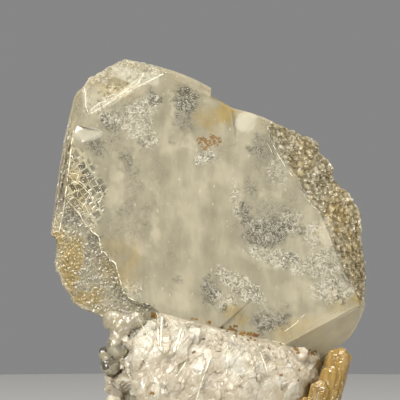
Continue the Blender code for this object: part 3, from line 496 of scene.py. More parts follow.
def make_plate(settings):
    def spacing_at(place):
        return settings.plate_spacing / MM * (1.0 if place.y < 1.0 else 1.7)

    mesh, points, normals = fine_mesh("barite_plate", "tabular_crystal", spacing_at, 1)
    masks = plate_masks(points, normals)
    steps, crown, lower, mosaic, strip, back = (
        masks[kind] for kind in ("steps", "crown", "lower", "mosaic", "strip", "back")
    )
    crackle = zone(points, CRACKLE)
    raise_points(mesh, points, normals, plate_relief(points, masks, crackle))
    rim = inside_distance(points[:, (0, 2)], PLATE_OUTLINE)
    drift = 0.42 + 0.25 * waves(points, 9.0, 4) + 0.2 * waves(points, 3.6, 6)
    store(mesh, {
        "milk": drift + 0.9 * zone(points, VEILS, 0.6),
        "window": zone(points, WINDOWS, 0.8),
        "haze_and_shade": zone(points, HAZE_AND_SHADE, 1.0),
        "honey": np.maximum(zone(points, HONEY, 0.9), 0.25 * smooth_step(3.0, 0.2, rim)),
        "crackle": np.maximum(crackle, 0.5 * crown),
        "rust": zone(points, RUST),
        # Painted highlights on the glinting facets
        "bright": zone(points, PAINTED_GLINTS, 0.12),
        "scales": np.maximum(steps, 0.25 * back),
        "grain": steps + crown + 0.8 * lower + 0.3 * back,
        "mosaic": np.maximum(mosaic, 0.35 * lower),
        "strip": strip,
        # Painted highlight: a thin light band along the outline of the front
        "rim": smooth_step(0.55, 0.1, rim) * np.clip(-normals[:, 1], 0, 1),
    })
    add_piece("tabular_crystal", mesh, plate_material(settings), ["barite_plate"])


def socket_named(sockets, name):
    """A socket by its number or name: the one in use, where several kinds of data share a name."""
    if isinstance(name, int):
        return sockets[name]
    in_use = [s for s in sockets if s.enabled and s.name == name]
    return in_use[0] if in_use else sockets[name]


def connect(tree, socket, value):
    """Links another node's output to the socket, or sets the socket's own value."""
    if isinstance(value, bpy.types.NodeSocket):
        tree.links.new(value, socket)
    else:
        socket.default_value = value


def add_node(tree, kind, inputs=None, **settings):
    """A new node with its settings, and with what goes into its sockets."""
    node = tree.nodes.new(kind)
    for name, value in settings.items():
        setattr(node, name, value)
    for name, value in (inputs or {}).items():
        connect(tree, socket_named(node.inputs, name), value)
    return node


SOCKET_KINDS = {float: "NodeSocketFloat", int: "NodeSocketInt", type(None): "NodeSocketGeometry"}


def new_group(kind, name, inputs, outputs):
    """A node group with named sockets in and out, given by their first values: None for geometry."""
    group = bpy.data.node_groups.new(name, kind)
    for way, sockets in (("INPUT", inputs), ("OUTPUT", outputs)):
        for label, value in sockets.items():
            socket = group.interface.new_socket(label, in_out=way, socket_type=SOCKET_KINDS[type(value)])
            if value:
                socket.default_value = value
    return group, group.nodes.new("NodeGroupInput").outputs, group.nodes.new("NodeGroupOutput").inputs


def new_material(name):
    material = bpy.data.materials.new(name)
    material.use_nodes = True
    tree = material.node_tree
    return material, tree, tree.nodes["Principled BSDF"]


def dress(tree, shader, color, height=None, bump=0.0, depth=BUMP_DEPTH, **constants):
    """Gives the shader its colour, its relief and its constants, by the socket's name."""
    connect(tree, shader.inputs["Base Color"], color)
    for name, value in constants.items():
        connect(tree, shader.inputs[name.replace("_", " ")], value)
    if height is not None:
        relief = add_node(tree, "ShaderNodeBump", {"Height": height, "Strength": bump, "Distance": depth})
        connect(tree, shader.inputs["Normal"], relief.outputs["Normal"])


def attribute_node(tree, name):
    return add_node(tree, "ShaderNodeAttribute", attribute_name=name).outputs["Fac"]


def number(tree, operation, first, second, clamp=False):
    """A sum or other simple operation on two values."""
    return add_node(tree, "ShaderNodeMath", {0: first, 1: second}, operation=operation, use_clamp=clamp).outputs[0]


def times(tree, first, second):
    return number(tree, "MULTIPLY", first, second)


def largest(tree, first, second):
    return number(tree, "MAXIMUM", first, second)


def mix_color(tree, factor, first, second, blend="MIX"):
    """The first colour turned into the second by the factor."""
    first, second = (c if isinstance(c, bpy.types.NodeSocket) else (*c, 1.0) for c in (first, second))
    inputs = {"Factor": factor, "A": first, "B": second}
    node = add_node(tree, "ShaderNodeMix", inputs, data_type="RGBA", blend_type=blend)
    return next(s for s in node.outputs if s.enabled)


def laid_over(tree, color, over, mask, share):
    """The colour with another laid over it by the mask and its share."""
    return mix_color(tree, times(tree, mask, share), color, over)


def ranged(tree, value, low, high, new_low=0.0, new_high=1.0):
    """The value moved from one range to another."""
    inputs = {"Value": value, "From Min": low, "From Max": high, "To Min": new_low, "To Max": new_high}
    return add_node(tree, "ShaderNodeMapRange", inputs).outputs["Result"]


def noise(tree, place, scale, detail=4.0, distortion=0.0, seed=None):
    inputs = {"Vector": place, "Scale": scale, "Detail": detail, "Distortion": distortion}
    if seed is None:
        return add_node(tree, "ShaderNodeTexNoise", inputs).outputs["Fac"]
    return add_node(tree, "ShaderNodeTexNoise", {**inputs, "W": seed}, noise_dimensions="4D").outputs["Fac"]


def stretched_noise(tree, scale, turn, seed):
    """Streaky noise: a scale along each axis after a turn about Y."""
    mapping = add_node(tree, "ShaderNodeMapping", {
        "Vector": add_node(tree, "ShaderNodeTexCoord").outputs["Object"], "Scale": scale,
        "Rotation": (0.0, math.radians(turn), 0.0), "Location": (seed, seed, seed),
    })
    return noise(tree, mapping.outputs[0], 1.0)


def pattern_group(name, inputs, outputs):
    """A shader node group with numbers in and out, and the object's own place inside it."""
    group, into, out = new_group("ShaderNodeTree", name, inputs, dict.fromkeys(outputs, 0.0))
    return group, into, out, add_node(group, "ShaderNodeTexCoord").outputs["Object"]


def etch_group(name):
    """Fine etch: drifting grain and tiny facets, as a value for colour and a height for bump."""
    inputs = {"Facet size": 1200.0, "Grain size": 500.0, "Seed": 0.0}
    group, into, out, place = pattern_group(name, inputs, ("Height", "Drift"))
    cells = add_node(group, "ShaderNodeTexVoronoi", {"Vector": place, "Scale": into["Facet size"]})
    drift = noise(group, place, into["Grain size"], seed=into["Seed"])
    connect(group, out["Height"], number(group, "ADD", cells.outputs["Distance"], drift))
    connect(group, out["Drift"], drift)
    return group


def patchy_group(name):
    """A zone broken up into ragged patches."""
    inputs = {"Zone": 0.0, "Patch size": 400.0, "Patchiness": 1.0, "Seed": 0.0}
    group, into, out, place = pattern_group(name, inputs, ("Mask",))
    drift = noise(group, place, into["Patch size"], 5.0, 1.2, into["Seed"])
    drift = ranged(group, drift, 0.32, 0.68, -0.5, 0.5)
    near = number(group, "MINIMUM", times(group, into["Zone"], 3.0), 1.0)
    swing = times(group, times(group, drift, into["Patchiness"]), near)
    connect(group, out["Mask"], number(group, "ADD", into["Zone"], swing, True))
    return group


def threads_group(name):
    """Fine winding bright threads and dark specks between them."""
    group, into, out, place = pattern_group(name, {"Size": 1500.0, "Seed": 0.0}, ("Thread", "Speck"))
    drift = noise(group, place, into["Size"], 3.0, 1.6, into["Seed"])
    connect(group, out["Thread"], ranged(group, drift, 0.47, 0.6))
    connect(group, out["Speck"], ranged(group, drift, 0.42, 0.3))
    return group


def mosaic_group(name):
    """Flat blocks of different tone with light lines between them."""
    group, into, out, place = pattern_group(name, {"Size": 800.0, "Line width": 0.1}, ("Line", "Tone"))
    turned = add_node(group, "ShaderNodeMapping", {"Vector": place, "Rotation": (0.0, math.radians(32), 0.0)})
    cells = {"Vector": turned.outputs[0], "Scale": into["Size"], "Randomness": 0.7}
    first, second = (
        add_node(group, "ShaderNodeTexVoronoi", cells, feature=feature, distance="CHEBYCHEV")
        for feature in ("F1", "F2")
    )
    parts = add_node(group, "ShaderNodeSeparateColor", {0: first.outputs["Color"]})
    connect(group, out["Tone"], parts.outputs[0])
    border = number(group, "SUBTRACT", second.outputs["Distance"], first.outputs["Distance"])
    share = number(group, "DIVIDE", border, into["Line width"])
    connect(group, out["Line"], number(group, "SUBTRACT", 1.0, share, True))
    return group


def scale_group(name):
    """Small scales: painted highlight on their tops, differing from one to the next, and painted shade in the hollows
    between.
    """
    group, into, out, place = pattern_group(name, {"Size": 1150.0}, ("Top", "Hollow"))
    cells = add_node(group, "ShaderNodeTexVoronoi", {"Vector": place, "Scale": into["Size"]})
    parts = add_node(group, "ShaderNodeSeparateColor", {0: cells.outputs["Color"]})
    top = ranged(group, cells.outputs["Distance"], 0.42, 0.22)
    connect(group, out["Top"], times(group, top, ranged(group, parts.outputs[0], 0.3, 0.9)))
    connect(group, out["Hollow"], ranged(group, cells.outputs["Distance"], 0.4, 0.65))
    return group


PATTERNS = {
    "Patchy zone": patchy_group, "Fracture threads": threads_group, "Block mosaic": mosaic_group,
    "Scales": scale_group, "Fine etch": etch_group,
}


def pattern(tree, name, **values):
    """A pattern's outputs, with the inputs given by name."""
    group = bpy.data.node_groups.get(name) or PATTERNS[name](name)
    inputs = {label.replace("_", " "): value for label, value in values.items()}
    return add_node(tree, "ShaderNodeGroup", inputs, node_tree=group).outputs


def etched(tree, facet_size, grain_size, seed):
    return pattern(tree, "Fine etch", Facet_size=facet_size, Grain_size=grain_size, Seed=seed)


def zone_mask(tree, name, size, patchiness, seed):
    values = {"Zone": attribute_node(tree, name), "Patch size": size, "Patchiness": patchiness, "Seed": seed}
    return pattern(tree, "Patchy zone", **values)["Mask"]


def plate_material(settings):
    material, tree, shader = new_material("clear_barite")
    etch = etched(tree, 1500.0, 260.0, 1.0)
    threads = pattern(tree, "Fracture threads", Size=1400.0, Seed=2.0)
    mosaic = pattern(tree, "Block mosaic", Size=720.0, Line_width=0.16)
    scales = pattern(tree, "Scales", Size=1150.0)
    dark, hazy, spark = settings.window_color, settings.haze_color, settings.spark_color

    veil = ranged(tree, stretched_noise(tree, (420.0, 420.0, 150.0), 18.0, 3.0), 0.35, 0.68)
    milk = number(tree, "ADD", times(tree, attribute_node(tree, "milk"), 0.6), times(tree, veil, 0.45))
    color = mix_color(tree, milk, hazy, settings.milk_color)
    # Painted glints: small bright sparkle flecks
    sparkle_glints = ranged(tree, stretched_noise(tree, (1500.0, 1500.0, 800.0), 35.0, 7.0), 0.66, 0.72)
    color = laid_over(tree, color, spark, sparkle_glints, 0.7)

    # Greyer hazy zones, and painted shade on the facets under the crown's edge
    haze_and_shade = zone_mask(tree, "haze_and_shade", 200.0, 0.7, 8.0)
    color = laid_over(tree, color, hazy, haze_and_shade, 0.8)
    window = zone_mask(tree, "window", 240.0, 0.9, 3.0)
    color = laid_over(tree, color, dark, window, 0.85)
    specks = times(tree, largest(tree, window, times(tree, haze_and_shade, 0.35)), threads["Speck"])
    color = laid_over(tree, color, settings.speck_color, specks, 0.8)
    crackle = zone_mask(tree, "crackle", 380.0, 1.1, 4.0)
    broken = mix_color(tree, threads["Thread"], mix_color(tree, 0.45, color, hazy), spark)
    broken = laid_over(tree, broken, settings.speck_color, threads["Speck"], 0.6)
    rough = largest(tree, crackle, times(tree, window, 0.45))
    rough = largest(tree, rough, times(tree, haze_and_shade, 0.25))
    color = mix_color(tree, rough, color, broken)

    grain, scaly, strip, bright, rim = (
        attribute_node(tree, name) for name in ("grain", "scales", "strip", "bright", "rim")
    )
    # Painted highlight on the scale tops and painted shade in the hollows between them
    topped = mix_color(tree, scales["Top"], settings.scale_color, spark)
    topped = mix_color(tree, scales["Hollow"], topped, settings.scale_shade_color)
    blocks = zone_mask(tree, "mosaic", 300.0, 0.8, 5.0)
    block_color = mix_color(tree, mosaic["Tone"], dark, hazy)
    block_color = mix_color(tree, mosaic["Line"], block_color, settings.line_color)
    dashes = ranged(tree, stretched_noise(tree, (2600.0, 2600.0, 420.0), -8.8, 1.0), 0.55, 0.62)
    for over, mask, share in (
        (topped, scaly, 0.85), (block_color, blocks, 0.9), (STRIP_COLOR, strip, 0.8), (DASH_COLOR, dashes, strip),
    ):
        color = laid_over(tree, color, over, mask, share)

    tinted = mix_color(tree, 1.0, color, settings.honey_color, "MULTIPLY")
    color = mix_color(tree, zone_mask(tree, "honey", 120.0, 0.6, 6.0), color, tinted)
    rust = zone_mask(tree, "rust", 1300.0, 3.4, 7.0)
    # Painted highlights: glints on the bright facets and a thin light band along the outline; then the rust film
    for over, mask, share in ((spark, bright, 0.7), (spark, rim, 0.7), (RUST_FILM_COLOR, rust, 0.85)):
        color = laid_over(tree, color, over, mask, share)

    gloss = number(tree, "ADD", ranged(tree, grain, 0, 1, 0.06, 0.28), times(tree, bright, 0.9))
    height = times(tree, etch["Height"], ranged(tree, grain, 0, 1, 0.05, 0.6))
    for value, mask in ((threads["Thread"], rough), (scales["Top"], scaly), (mosaic["Line"], blocks)):
        height = number(tree, "ADD", height, times(tree, value, mask))
    dress(tree, shader, color, height, 0.8, Roughness=gloss, IOR=BARITE_IOR, Transmission_Weight=0.6)
    return material


def crust_material(settings):
    material, tree, shader = new_material("pale_crust")
    etch = etched(tree, 1300.0, 220.0, 2.0)
    facets = pattern(tree, "Block mosaic", Size=420.0, Line_width=0.05)
    shadow, spark = settings.crust_shadow_color, settings.crust_highlight_color
    # Random tone between the painted shade colour and the crust colour; then painted highlights on the brighter
    # facets and their edges, light strokes, whiter patches painted as highlight, and painted shade in the pink zones
    color = mix_color(tree, ranged(tree, etch["Drift"], 0.3, 0.7), shadow, settings.crust_color)
    strokes = ranged(tree, stretched_noise(tree, (2000.0, 2000.0, 520.0), 14.0, 5.0), 0.6, 0.72)
    for over, mask, share in (
        (spark, ranged(tree, facets["Tone"], 0.72, 0.9), 0.6), (spark, facets["Line"], 0.45),
        (spark, strokes, 0.6), (shadow, zone_mask(tree, "pink_painted_shade", 260.0, 0.7, 1.0), 0.7),
        (spark, zone_mask(tree, "white_highlight", 420.0, 0.8, 2.0), 0.7),
    ):
        color = laid_over(tree, color, over, mask, share)
    color = mix_color(tree, zone_mask(tree, "hollow", 700.0, 0.8, 3.0), color, CRUST_HOLLOW_COLOR)
    height = number(tree, "ADD", times(tree, etch["Height"], 0.5), facets["Line"])
    dress(
        tree, shader, color, number(tree, "ADD", height, strokes), 0.3, Roughness=0.3, IOR=BARITE_IOR,
        Transmission_Weight=0.25, Subsurface_Weight=0.8, Subsurface_Radius=(1.0, 1.0, 1.0), Subsurface_Scale=0.002,
    )
    return material


def amber_material(settings):
    material, tree, shader = new_material("amber_barite")
    etch = etched(tree, 1300.0, 300.0, 3.0)
    streaks = stretched_noise(tree, (1300.0, 1300.0, 110.0), -15.0, 2.0)
    broad = stretched_noise(tree, (420.0, 420.0, 90.0), -15.0, 9.0)
    color = mix_color(tree, ranged(tree, streaks, 0.3, 0.7), settings.amber_shadow_color, settings.amber_color)
    color = mix_color(tree, ranged(tree, broad, 0.52, 0.7), color, settings.amber_pale_color)
    height = number(tree, "ADD", etch["Height"], streaks)
    dress(tree, shader, color, height, 0.6, Roughness=0.12, IOR=BARITE_IOR, Transmission_Weight=0.6)
    return material


def lobe_material(settings):
    material, tree, shader = new_material("clear_growth")
    etch = etched(tree, 1300.0, 300.0, 4.0)
    facets = pattern(tree, "Block mosaic", Size=600.0, Line_width=0.1)
    color = mix_color(tree, ranged(tree, etch["Drift"], 0.3, 0.6), settings.haze_color, LOBE_COLOR)
    # Painted highlight along the facet edges
    color = laid_over(tree, color, settings.crust_highlight_color, facets["Line"], 0.7)
    color = mix_color(tree, ranged(tree, facets["Tone"], 0.86, 0.95), color, settings.window_color)
    height = number(tree, "ADD", etch["Height"], facets["Line"])
    dress(tree, shader, color, height, 0.35, Roughness=0.08, IOR=BARITE_IOR, Transmission_Weight=0.55)
    return material


def spark_material(settings):
    material, tree, shader = new_material("bright_growth")
    etch = etched(tree, 1500.0, 900.0, 5.0)
    color = mix_color(tree, ranged(tree, etch["Drift"], 0.4, 0.6), settings.milk_color, settings.spark_color)
    dress(tree, shader, color, etch["Height"], 0.4, BUMP_DEPTH / 2, Roughness=0.25, IOR=BARITE_IOR)
    return material


def hollow_material():
    material, tree, shader = new_material("dark_hollow")
    etch = etched(tree, 1500.0, 900.0, 8.0)
    dress(tree, shader, mix_color(tree, ranged(tree, etch["Drift"], 0.4, 0.6), *CRACK_COLORS), Roughness=0.5)
    return material


def stain_material(settings):
    material, tree, shader = new_material("iron_stain")
    etch = etched(tree, 2200.0, 900.0, 6.0)
    color = mix_color(tree, ranged(tree, etch["Drift"], 0.35, 0.65), DARK_RUST_COLOR, settings.rust_color)
    dress(tree, shader, color, etch["Height"], 0.7, Roughness=0.6)
    return material


def front_surface(*names):
    """Finds the first of the pieces' faces behind a place (x, z), seen from the front, in millimetres."""
    trees = []
    for name in names:
        bm = bmesh.new()
        bm.from_mesh(bpy.data.objects[name].data)
        trees.append(BVHTree.FromBMesh(bm))
        bm.free()

    def cast(x, z):
        best = None
        for tree in trees:
            place, normal, _, _ = tree.ray_cast(Vector((x * MM, -0.1, z * MM)), Vector((0, 1, 0)))
            if place and (best is None or place.y < best[0].y):
                best = place, normal
        return best

    return cast


def geometry_tree(name, **inputs):
    """A Geometry Nodes tree with geometry and named values going in, and geometry coming out."""
    return new_group("GeometryNodeTree", name, {"Geometry": None, **inputs}, {"Geometry": None})


def vector(tree, operation, first, second):
    """A simple operation on vectors; SCALE takes a number as its second value."""
    inputs = {0: first, "Scale" if operation == "SCALE" else 1: second}
    return add_node(tree, "ShaderNodeVectorMath", inputs, operation=operation).outputs[0]


def swayed(tree, geometry, scale, amount):
    """The geometry with its points moved by smooth noise."""
    drift = add_node(tree, "ShaderNodeTexNoise", {"Scale": scale})
    centred = vector(tree, "SUBTRACT", drift.outputs["Color"], (0.5, 0.5, 0.5))
    offset = vector(tree, "SCALE", centred, amount)
    return add_node(tree, "GeometryNodeSetPosition", {"Geometry": geometry, "Offset": offset}).outputs[0]


def realized(tree, geometry):
    return add_node(tree, "GeometryNodeRealizeInstances", {0: geometry}).outputs[0]


def finish_tree(tree, out, geometry, material):
    """Sends the geometry out as real geometry in the given material."""
    inputs = {"Geometry": realized(tree, geometry), "Material": material}
    connect(tree, out[0], add_node(tree, "GeometryNodeSetMaterial", inputs).outputs[0])
    return tree


def instances(tree, points, shape, upright, spin, size):
    """A shape set on each point, turned to stand along a vector and sized along its three axes."""
    stand = add_node(tree, "FunctionNodeAlignRotationToVector", {"Vector": upright}, axis="Z").outputs[0]
    if spin is not None:
        about = add_node(tree, "FunctionNodeAxisAngleToRotation", {"Axis": (0, 0, 1), "Angle": spin}).outputs[0]
        turns = {"Rotation": stand, "Rotate By": about}
        stand = add_node(tree, "FunctionNodeRotateRotation", turns, rotation_space="LOCAL").outputs[0]
    scale = add_node(tree, "ShaderNodeCombineXYZ", dict(zip("XYZ", size))).outputs[0]
    inputs = {"Points": points, "Instance": shape, "Rotation": stand, "Scale": scale}
    return add_node(tree, "GeometryNodeInstanceOnPoints", inputs).outputs[0]


def ridge_tree(material):
    """Round ridges along paths: each point's radius sets the ridge's half width."""
    tree, into, out = geometry_tree("Ridges", Step=0.0003, Sway=0.0002)
    even = add_node(
        tree, "GeometryNodeResampleCurve", {"Curve": into["Geometry"], "Length": into["Step"]}, mode="LENGTH",
    )
    ring = add_node(tree, "GeometryNodeCurvePrimitiveCircle", {"Resolution": 6, "Radius": 1.0})
    skin = add_node(tree, "GeometryNodeCurveToMesh", {
        "Curve": swayed(tree, even.outputs[0], 900.0, into["Sway"]), "Profile Curve": ring.outputs[0],
        "Scale": add_node(tree, "GeometryNodeInputRadius").outputs[0], "Fill Caps": True,
    })
    return finish_tree(tree, out, skin.outputs[0], material)


def stain_tree(material):
    """Flat lumps on points: each point's size and outward direction shape its lump."""
    tree, into, out = geometry_tree("Stain lumps", Flatness=0.4, Lumpiness=0.0003)
    lump = add_node(tree, "GeometryNodeMeshIcoSphere", {"Subdivisions": 3}).outputs["Mesh"]
    stored = [
        add_node(tree, "GeometryNodeInputNamedAttribute", {"Name": name}, data_type=kind)
        for name, kind in (("size", "FLOAT"), ("outward", "FLOAT_VECTOR"))
    ]
    size, outward = (socket_named(node.outputs, "Attribute") for node in stored)
    sizes = (size, size, times(tree, size, into["Flatness"]))
    lumps = realized(tree, instances(tree, into["Geometry"], lump, outward, None, sizes))
    return finish_tree(tree, out, swayed(tree, lumps, 2200.0, into["Lumpiness"]), material)


def scatter_tree(material):
    """Small square crystals, narrower at their flat tops, that stand out of a surface: density, longest and shortest
    length, lean and seed; their width and depth follow their length.
    """
    tree, into, out = geometry_tree(
        "Small crystals", Density=200000.0, Longest=0.003, Shortest=0.001, Lean=0.6, Seed=0,
    )

    def chance(kind, low, high, seed):
        """A random value between two numbers, vectors or sockets."""
        inputs = {"Min": low, "Max": high, "Seed": seed}
        return socket_named(add_node(tree, "FunctionNodeRandomValue", inputs, data_type=kind).outputs, "Value")

    normal = add_node(tree, "GeometryNodeInputNormal").outputs[0]
    height = add_node(tree, "ShaderNodeSeparateXYZ", {0: normal}).outputs["Z"]
    upward = add_node(tree, "FunctionNodeCompare", {"A": height, "B": -0.35}, operation="GREATER_THAN")
    spread = add_node(tree, "GeometryNodeDistributePointsOnFaces", {
        "Mesh": into["Geometry"], "Density": into["Density"], "Seed": into["Seed"], "Selection": upward.outputs[0],
    })
    block = add_node(tree, "GeometryNodeMeshCone", {
        "Vertices": 4, "Radius Top": 0.42, "Radius Bottom": 0.55, "Depth": 1.0,
    })
    sway = vector(tree, "SCALE", chance("FLOAT_VECTOR", (-1, -1, -1), (1, 1, 1), 3), into["Lean"])
    upright = vector(tree, "ADD", vector(tree, "ADD", normal, (0, 0, 0.25)), sway)
    length = chance("FLOAT", into["Shortest"], into["Longest"], 7)
    wide, deep = (times(tree, length, chance("FLOAT", *span)) for span in ((0.9, 1.7, 8), (0.6, 1.1, 9)))
    put = instances(
        tree, spread.outputs["Points"], block.outputs["Mesh"], upright, chance("FLOAT", 0.0, 6.28, 4),
        (wide, deep, length),
    )
    return finish_tree(tree, out, put, material)


def made_by(tree, name, source, values):
    """The plain mesh that a tree makes from a surface, points or paths, kept inside the frame's box."""
    holder = bpy.data.objects.new(name, source)
    bpy.context.scene.collection.objects.link(holder)
    modifier = holder.modifiers.new("made", "NODES")
    modifier.node_group = tree
    ids = {item.name: item.identifier for item in tree.interface.items_tree if item.in_out == "INPUT"}
    for key, value in values.items():
        modifier[ids[key]] = value
    graph = bpy.context.evaluated_depsgraph_get()
    mesh = bpy.data.meshes.new_from_object(holder.evaluated_get(graph))
    bpy.data.objects.remove(holder)
    mesh.name = name
    set_places(mesh, vertex_arrays(mesh)[0] / MM)
    return mesh


def lay_ridges(name, lines, behind, material):
    """Ridges along paths (x, z), laid on the pieces behind them and let in by their depth."""
    rng = random.Random(31)
    cast = front_surface(*behind)
    curve = bpy.data.curves.new(name, "CURVE")
    curve.dimensions = "3D"
    for half_width, depth, path in lines:
        points = []
        for (ax, az), (bx, bz) in zip(path, path[1:]):
            count = max(1, round(math.dist((ax, az), (bx, bz)) / 0.5))
            points += [(ax + (bx - ax) * i / count, az + (bz - az) * i / count) for i in range(count)]
        points.append(path[-1])
        hits = [cast(x, z) for x, z in points]
        places = [hit[0] + Vector((0, (depth + 0.3 * half_width) * MM, 0)) for hit in hits if hit]
        if len(places) < 2:
            continue
        spline = curve.splines.new("POLY")
        spline.points.add(len(places) - 1)
        for i, (point, place) in enumerate(zip(spline.points, places)):
            point.co = (*place, 1.0)
            ends = min(i, len(places) - 1 - i)
            point.radius = half_width * MM * rng.uniform(0.4, 1.25) * (0.4 if ends == 0 else 1.0)
    mesh = made_by(ridge_tree(material), name, curve, {"Step": 0.0003, "Sway": 0.0003})
    add_piece(name, mesh, material)


def make_lines(settings):
    """Bright ledges and cracks, dark narrow hollows, and white rods on the crust."""
    bright, dark = spark_material(settings), hollow_material()
    lay_ridges("growth_lines", GROWTH_LINES, ("tabular_crystal",), bright)
    lay_ridges("dark_hollows", DARK_CRACKS, ("tabular_crystal",), dark)
    lay_ridges("crust_rods", CRUST_LINES, CRUST_PIECES, bright)


def make_stains(settings):
    """Lumpy rust stains where the tabular crystal meets the crust."""
    rng = random.Random(12)
    cast = front_surface("tabular_crystal", *CRUST_PIECES)
    found = []
    for x, z, size in STAINS:
        for _ in range(6):
            hit = cast(x + rng.uniform(-0.9, 0.9) * size, z + rng.uniform(-0.6, 0.6) * size)
            if hit:
                found.append((*hit, size * MM * rng.uniform(0.3, 0.65)))
    places, normals, sizes = zip(*found)
    spots = bpy.data.meshes.new("stain_spots")
    spots.from_pydata(places, [], [])
    spots.attributes.new("size", "FLOAT", "POINT").data.foreach_set("value", sizes)
    outward = [part for normal in normals for part in normal]
    spots.attributes.new("outward", "FLOAT_VECTOR", "POINT").data.foreach_set("vector", outward)
    material = stain_material(settings)
    mesh = made_by(stain_tree(material), "iron_stains", spots, {"Flatness": 0.4, "Lumpiness": 0.0004})
    add_piece("iron_stains", mesh, material)


def make_lobes(settings):
    mesh, points, normals = fine_mesh("clear_side_crystals", "glassy_lobes", lambda place: 0.35, 2)
    raise_points(mesh, relaxed(mesh, points, 8), normals, 0.12 * waves(points, 1.2, 3))
    mesh.shade_smooth()
    add_piece("glassy_lobes", mesh, lobe_material(settings), ["clear_side_crystals"])


def make_amber(settings):
    mesh, points, normals = fine_mesh("amber_crystal", "amber_columns", lambda place: 0.4, 3)
    flutes = facet_relief(points - points[:, 2:] * AMBER_LEAN, "amber")
    raise_points(mesh, points, normals, flutes)
    add_piece("amber_columns", mesh, amber_material(settings), ["amber_crystal"])


def relaxed(mesh, points, rounds):
    """The points evened out over the mesh: each round moves every point to the middle of its neighbours."""
    ends = np.zeros(len(mesh.edges) * 2, np.int32)
    mesh.edges.foreach_get("vertices", ends)
    ends = ends.reshape(-1, 2)
    count = np.bincount(ends.ravel(), minlength=len(points))[:, None]
    for _ in range(rounds):
        total = np.stack([
            np.bincount(ends[:, 0], points[ends[:, 1], k], len(points))
            + np.bincount(ends[:, 1], points[ends[:, 0], k], len(points)) for k in range(3)
        ], axis=1)
        points = 0.5 * points + 0.5 * total / np.maximum(count, 1)
    return points


def junction(x):
    """The height, in millimetres, at which the tabular crystal's front foot meets the crust."""
    return 27.26 - 0.2616 * x


def foot_collar():
    """The band of crust that closes on the tabular crystal's front foot, with its own small facets."""
    xs = np.arange(-10.4, 24.6, 0.3)
    turns = np.linspace(0.0, math.pi / 2, 26)
    on_plate, on_crust = front_surface("tabular_crystal"), front_surface("crust_crystals")
    hits = [on_plate(x, junction(x) + 0.1) for x in xs]
    inner = np.array([hit[0].y / MM if hit else 0.0 for hit in hits]) + 0.3
    outer = []
    for x in xs:
        hits = [on_crust(x, junction(x) - drop) for drop in (4.5, 5.5, 6.5)]
        outer.append(np.mean([hit[0].y for hit in hits if hit]) / MM)
    spread = np.exp(-0.5 * (np.arange(-12, 13) / 5.0) ** 2)
    outer = np.convolve(np.pad(outer, 12, mode="edge"), spread / spread.sum(), mode="valid")
    width = smooth_step(-10.4, -7.4, xs) * smooth_step(24.3, 21.5, xs)
    rows = [
        (x, a + (b - a) * w * math.sin(t), junction(x) - 6.0 * (1 - math.cos(t)))
        for x, a, b, w in zip(xs, inner, outer, width) for t in turns
    ]
    n = len(turns)
    faces = [
        (i * n + j, i * n + j + 1, (i + 1) * n + j + 1, (i + 1) * n + j)
        for i in range(len(xs) - 1) for j in range(n - 1)
    ]
    mesh = bpy.data.meshes.new("foot_crystals")
    mesh.from_pydata(rows, [], faces)
    mesh.update()
    points, normals = vertex_arrays(mesh)
    if normals[:, 1].mean() > 0:
        mesh.flip_normals()
        normals = -normals
    height = facet_relief(points, "collar") + facet_relief(points, "fine collar")
    height *= smooth_step(0.0, 0.8, junction(points[:, 0]) - points[:, 2])
    raise_points(mesh, points, normals, height)
    return mesh


def spread_low(grid, reach):
    """The lowest value within reach cells of each cell."""
    for axis in (0, 1):
        grid = np.min([np.roll(grid, shift, axis) for shift in range(-reach, reach + 1)], axis=0)
    return grid


def blurred(grid, cells):
    """The grid softened by a bell curve of the given width, without the empty cells."""
    reach = int(3 * cells)
    bell = np.exp(-0.5 * (np.arange(-reach, reach + 1) / cells) ** 2)
    total, weight = np.where(np.isfinite(grid), grid, 0.0), np.isfinite(grid).astype(float)
    for axis in (0, 1):
        total, weight = (
            sum(b * np.roll(layer, k - reach, axis) for k, b in enumerate(bell)) for layer in (total, weight)
        )
    return total / np.maximum(weight, 1e-9)


def front_skin():
    """Crust grown over the front, which bridges the grooves between the larger crystals."""
    xs, zs = np.arange(-26.0, 31.0, 0.32), np.arange(-4.0, 35.0, 0.32)
    cast = front_surface("crust_crystals")
    hits = [[cast(x, z) if 0.4 < z < min(junction(x) - 1.2, 29.5) else None for z in zs] for x in xs]
    own = np.array([[hit[0].y / MM if hit and hit[0].y < -0.005 else np.inf for hit in row] for row in hits])
    inside = np.isfinite(own)
    level = blurred(np.where(inside, spread_low(own, 5), np.inf), 4.0)
    rim = 7  # cells over which the skin sinks into the crust at its border
    share = sum(spread_low(inside.astype(float), k) for k in range(1, rim + 1)) / rim
    share = share * share * (3.0 - 2.0 * share)
    own = np.where(inside, own, 0.0)
    depth = own + (level - own) * share + 0.3 * (1.0 - share)
    ids = -np.ones(own.shape, int)
    ids[inside] = np.arange(inside.sum())
    rows = [(xs[i], depth[i, j], zs[j]) for i, j in np.argwhere(inside)]
    corners = np.stack([ids[:-1, :-1], ids[1:, :-1], ids[1:, 1:], ids[:-1, 1:]], axis=-1).reshape(-1, 4)
    mesh = bpy.data.meshes.new("front_growth")
    mesh.from_pydata(rows, [], corners[(corners >= 0).all(axis=1)].tolist())
    mesh.update()
    points, normals = vertex_arrays(mesh)
    height = facet_relief(points, "skin") + facet_relief(points, "fine skin")
    raise_points(mesh, points, normals, height * share[inside])
    return mesh


def store_crust_zones(mesh):
    points, _ = vertex_arrays(mesh)
    front = points[:, 1] < 0
    store(mesh, {name: zone(points / MM, patches) * front for name, patches in CRUST_ZONES.items()})


def crust_without_foot(mesh):
    """The crust's surface where small crystals may stand: not below it, nor near the tabular crystal's foot."""
    bm = bmesh.new()
    bm.from_mesh(mesh)
    bmesh.ops.delete(bm, geom=[f for f in bm.faces if under_plate(f.calc_center_median() / MM)], context="FACES")
    surface = bpy.data.meshes.new("crust_surface")
    bm.to_mesh(surface)
    bm.free()
    return surface


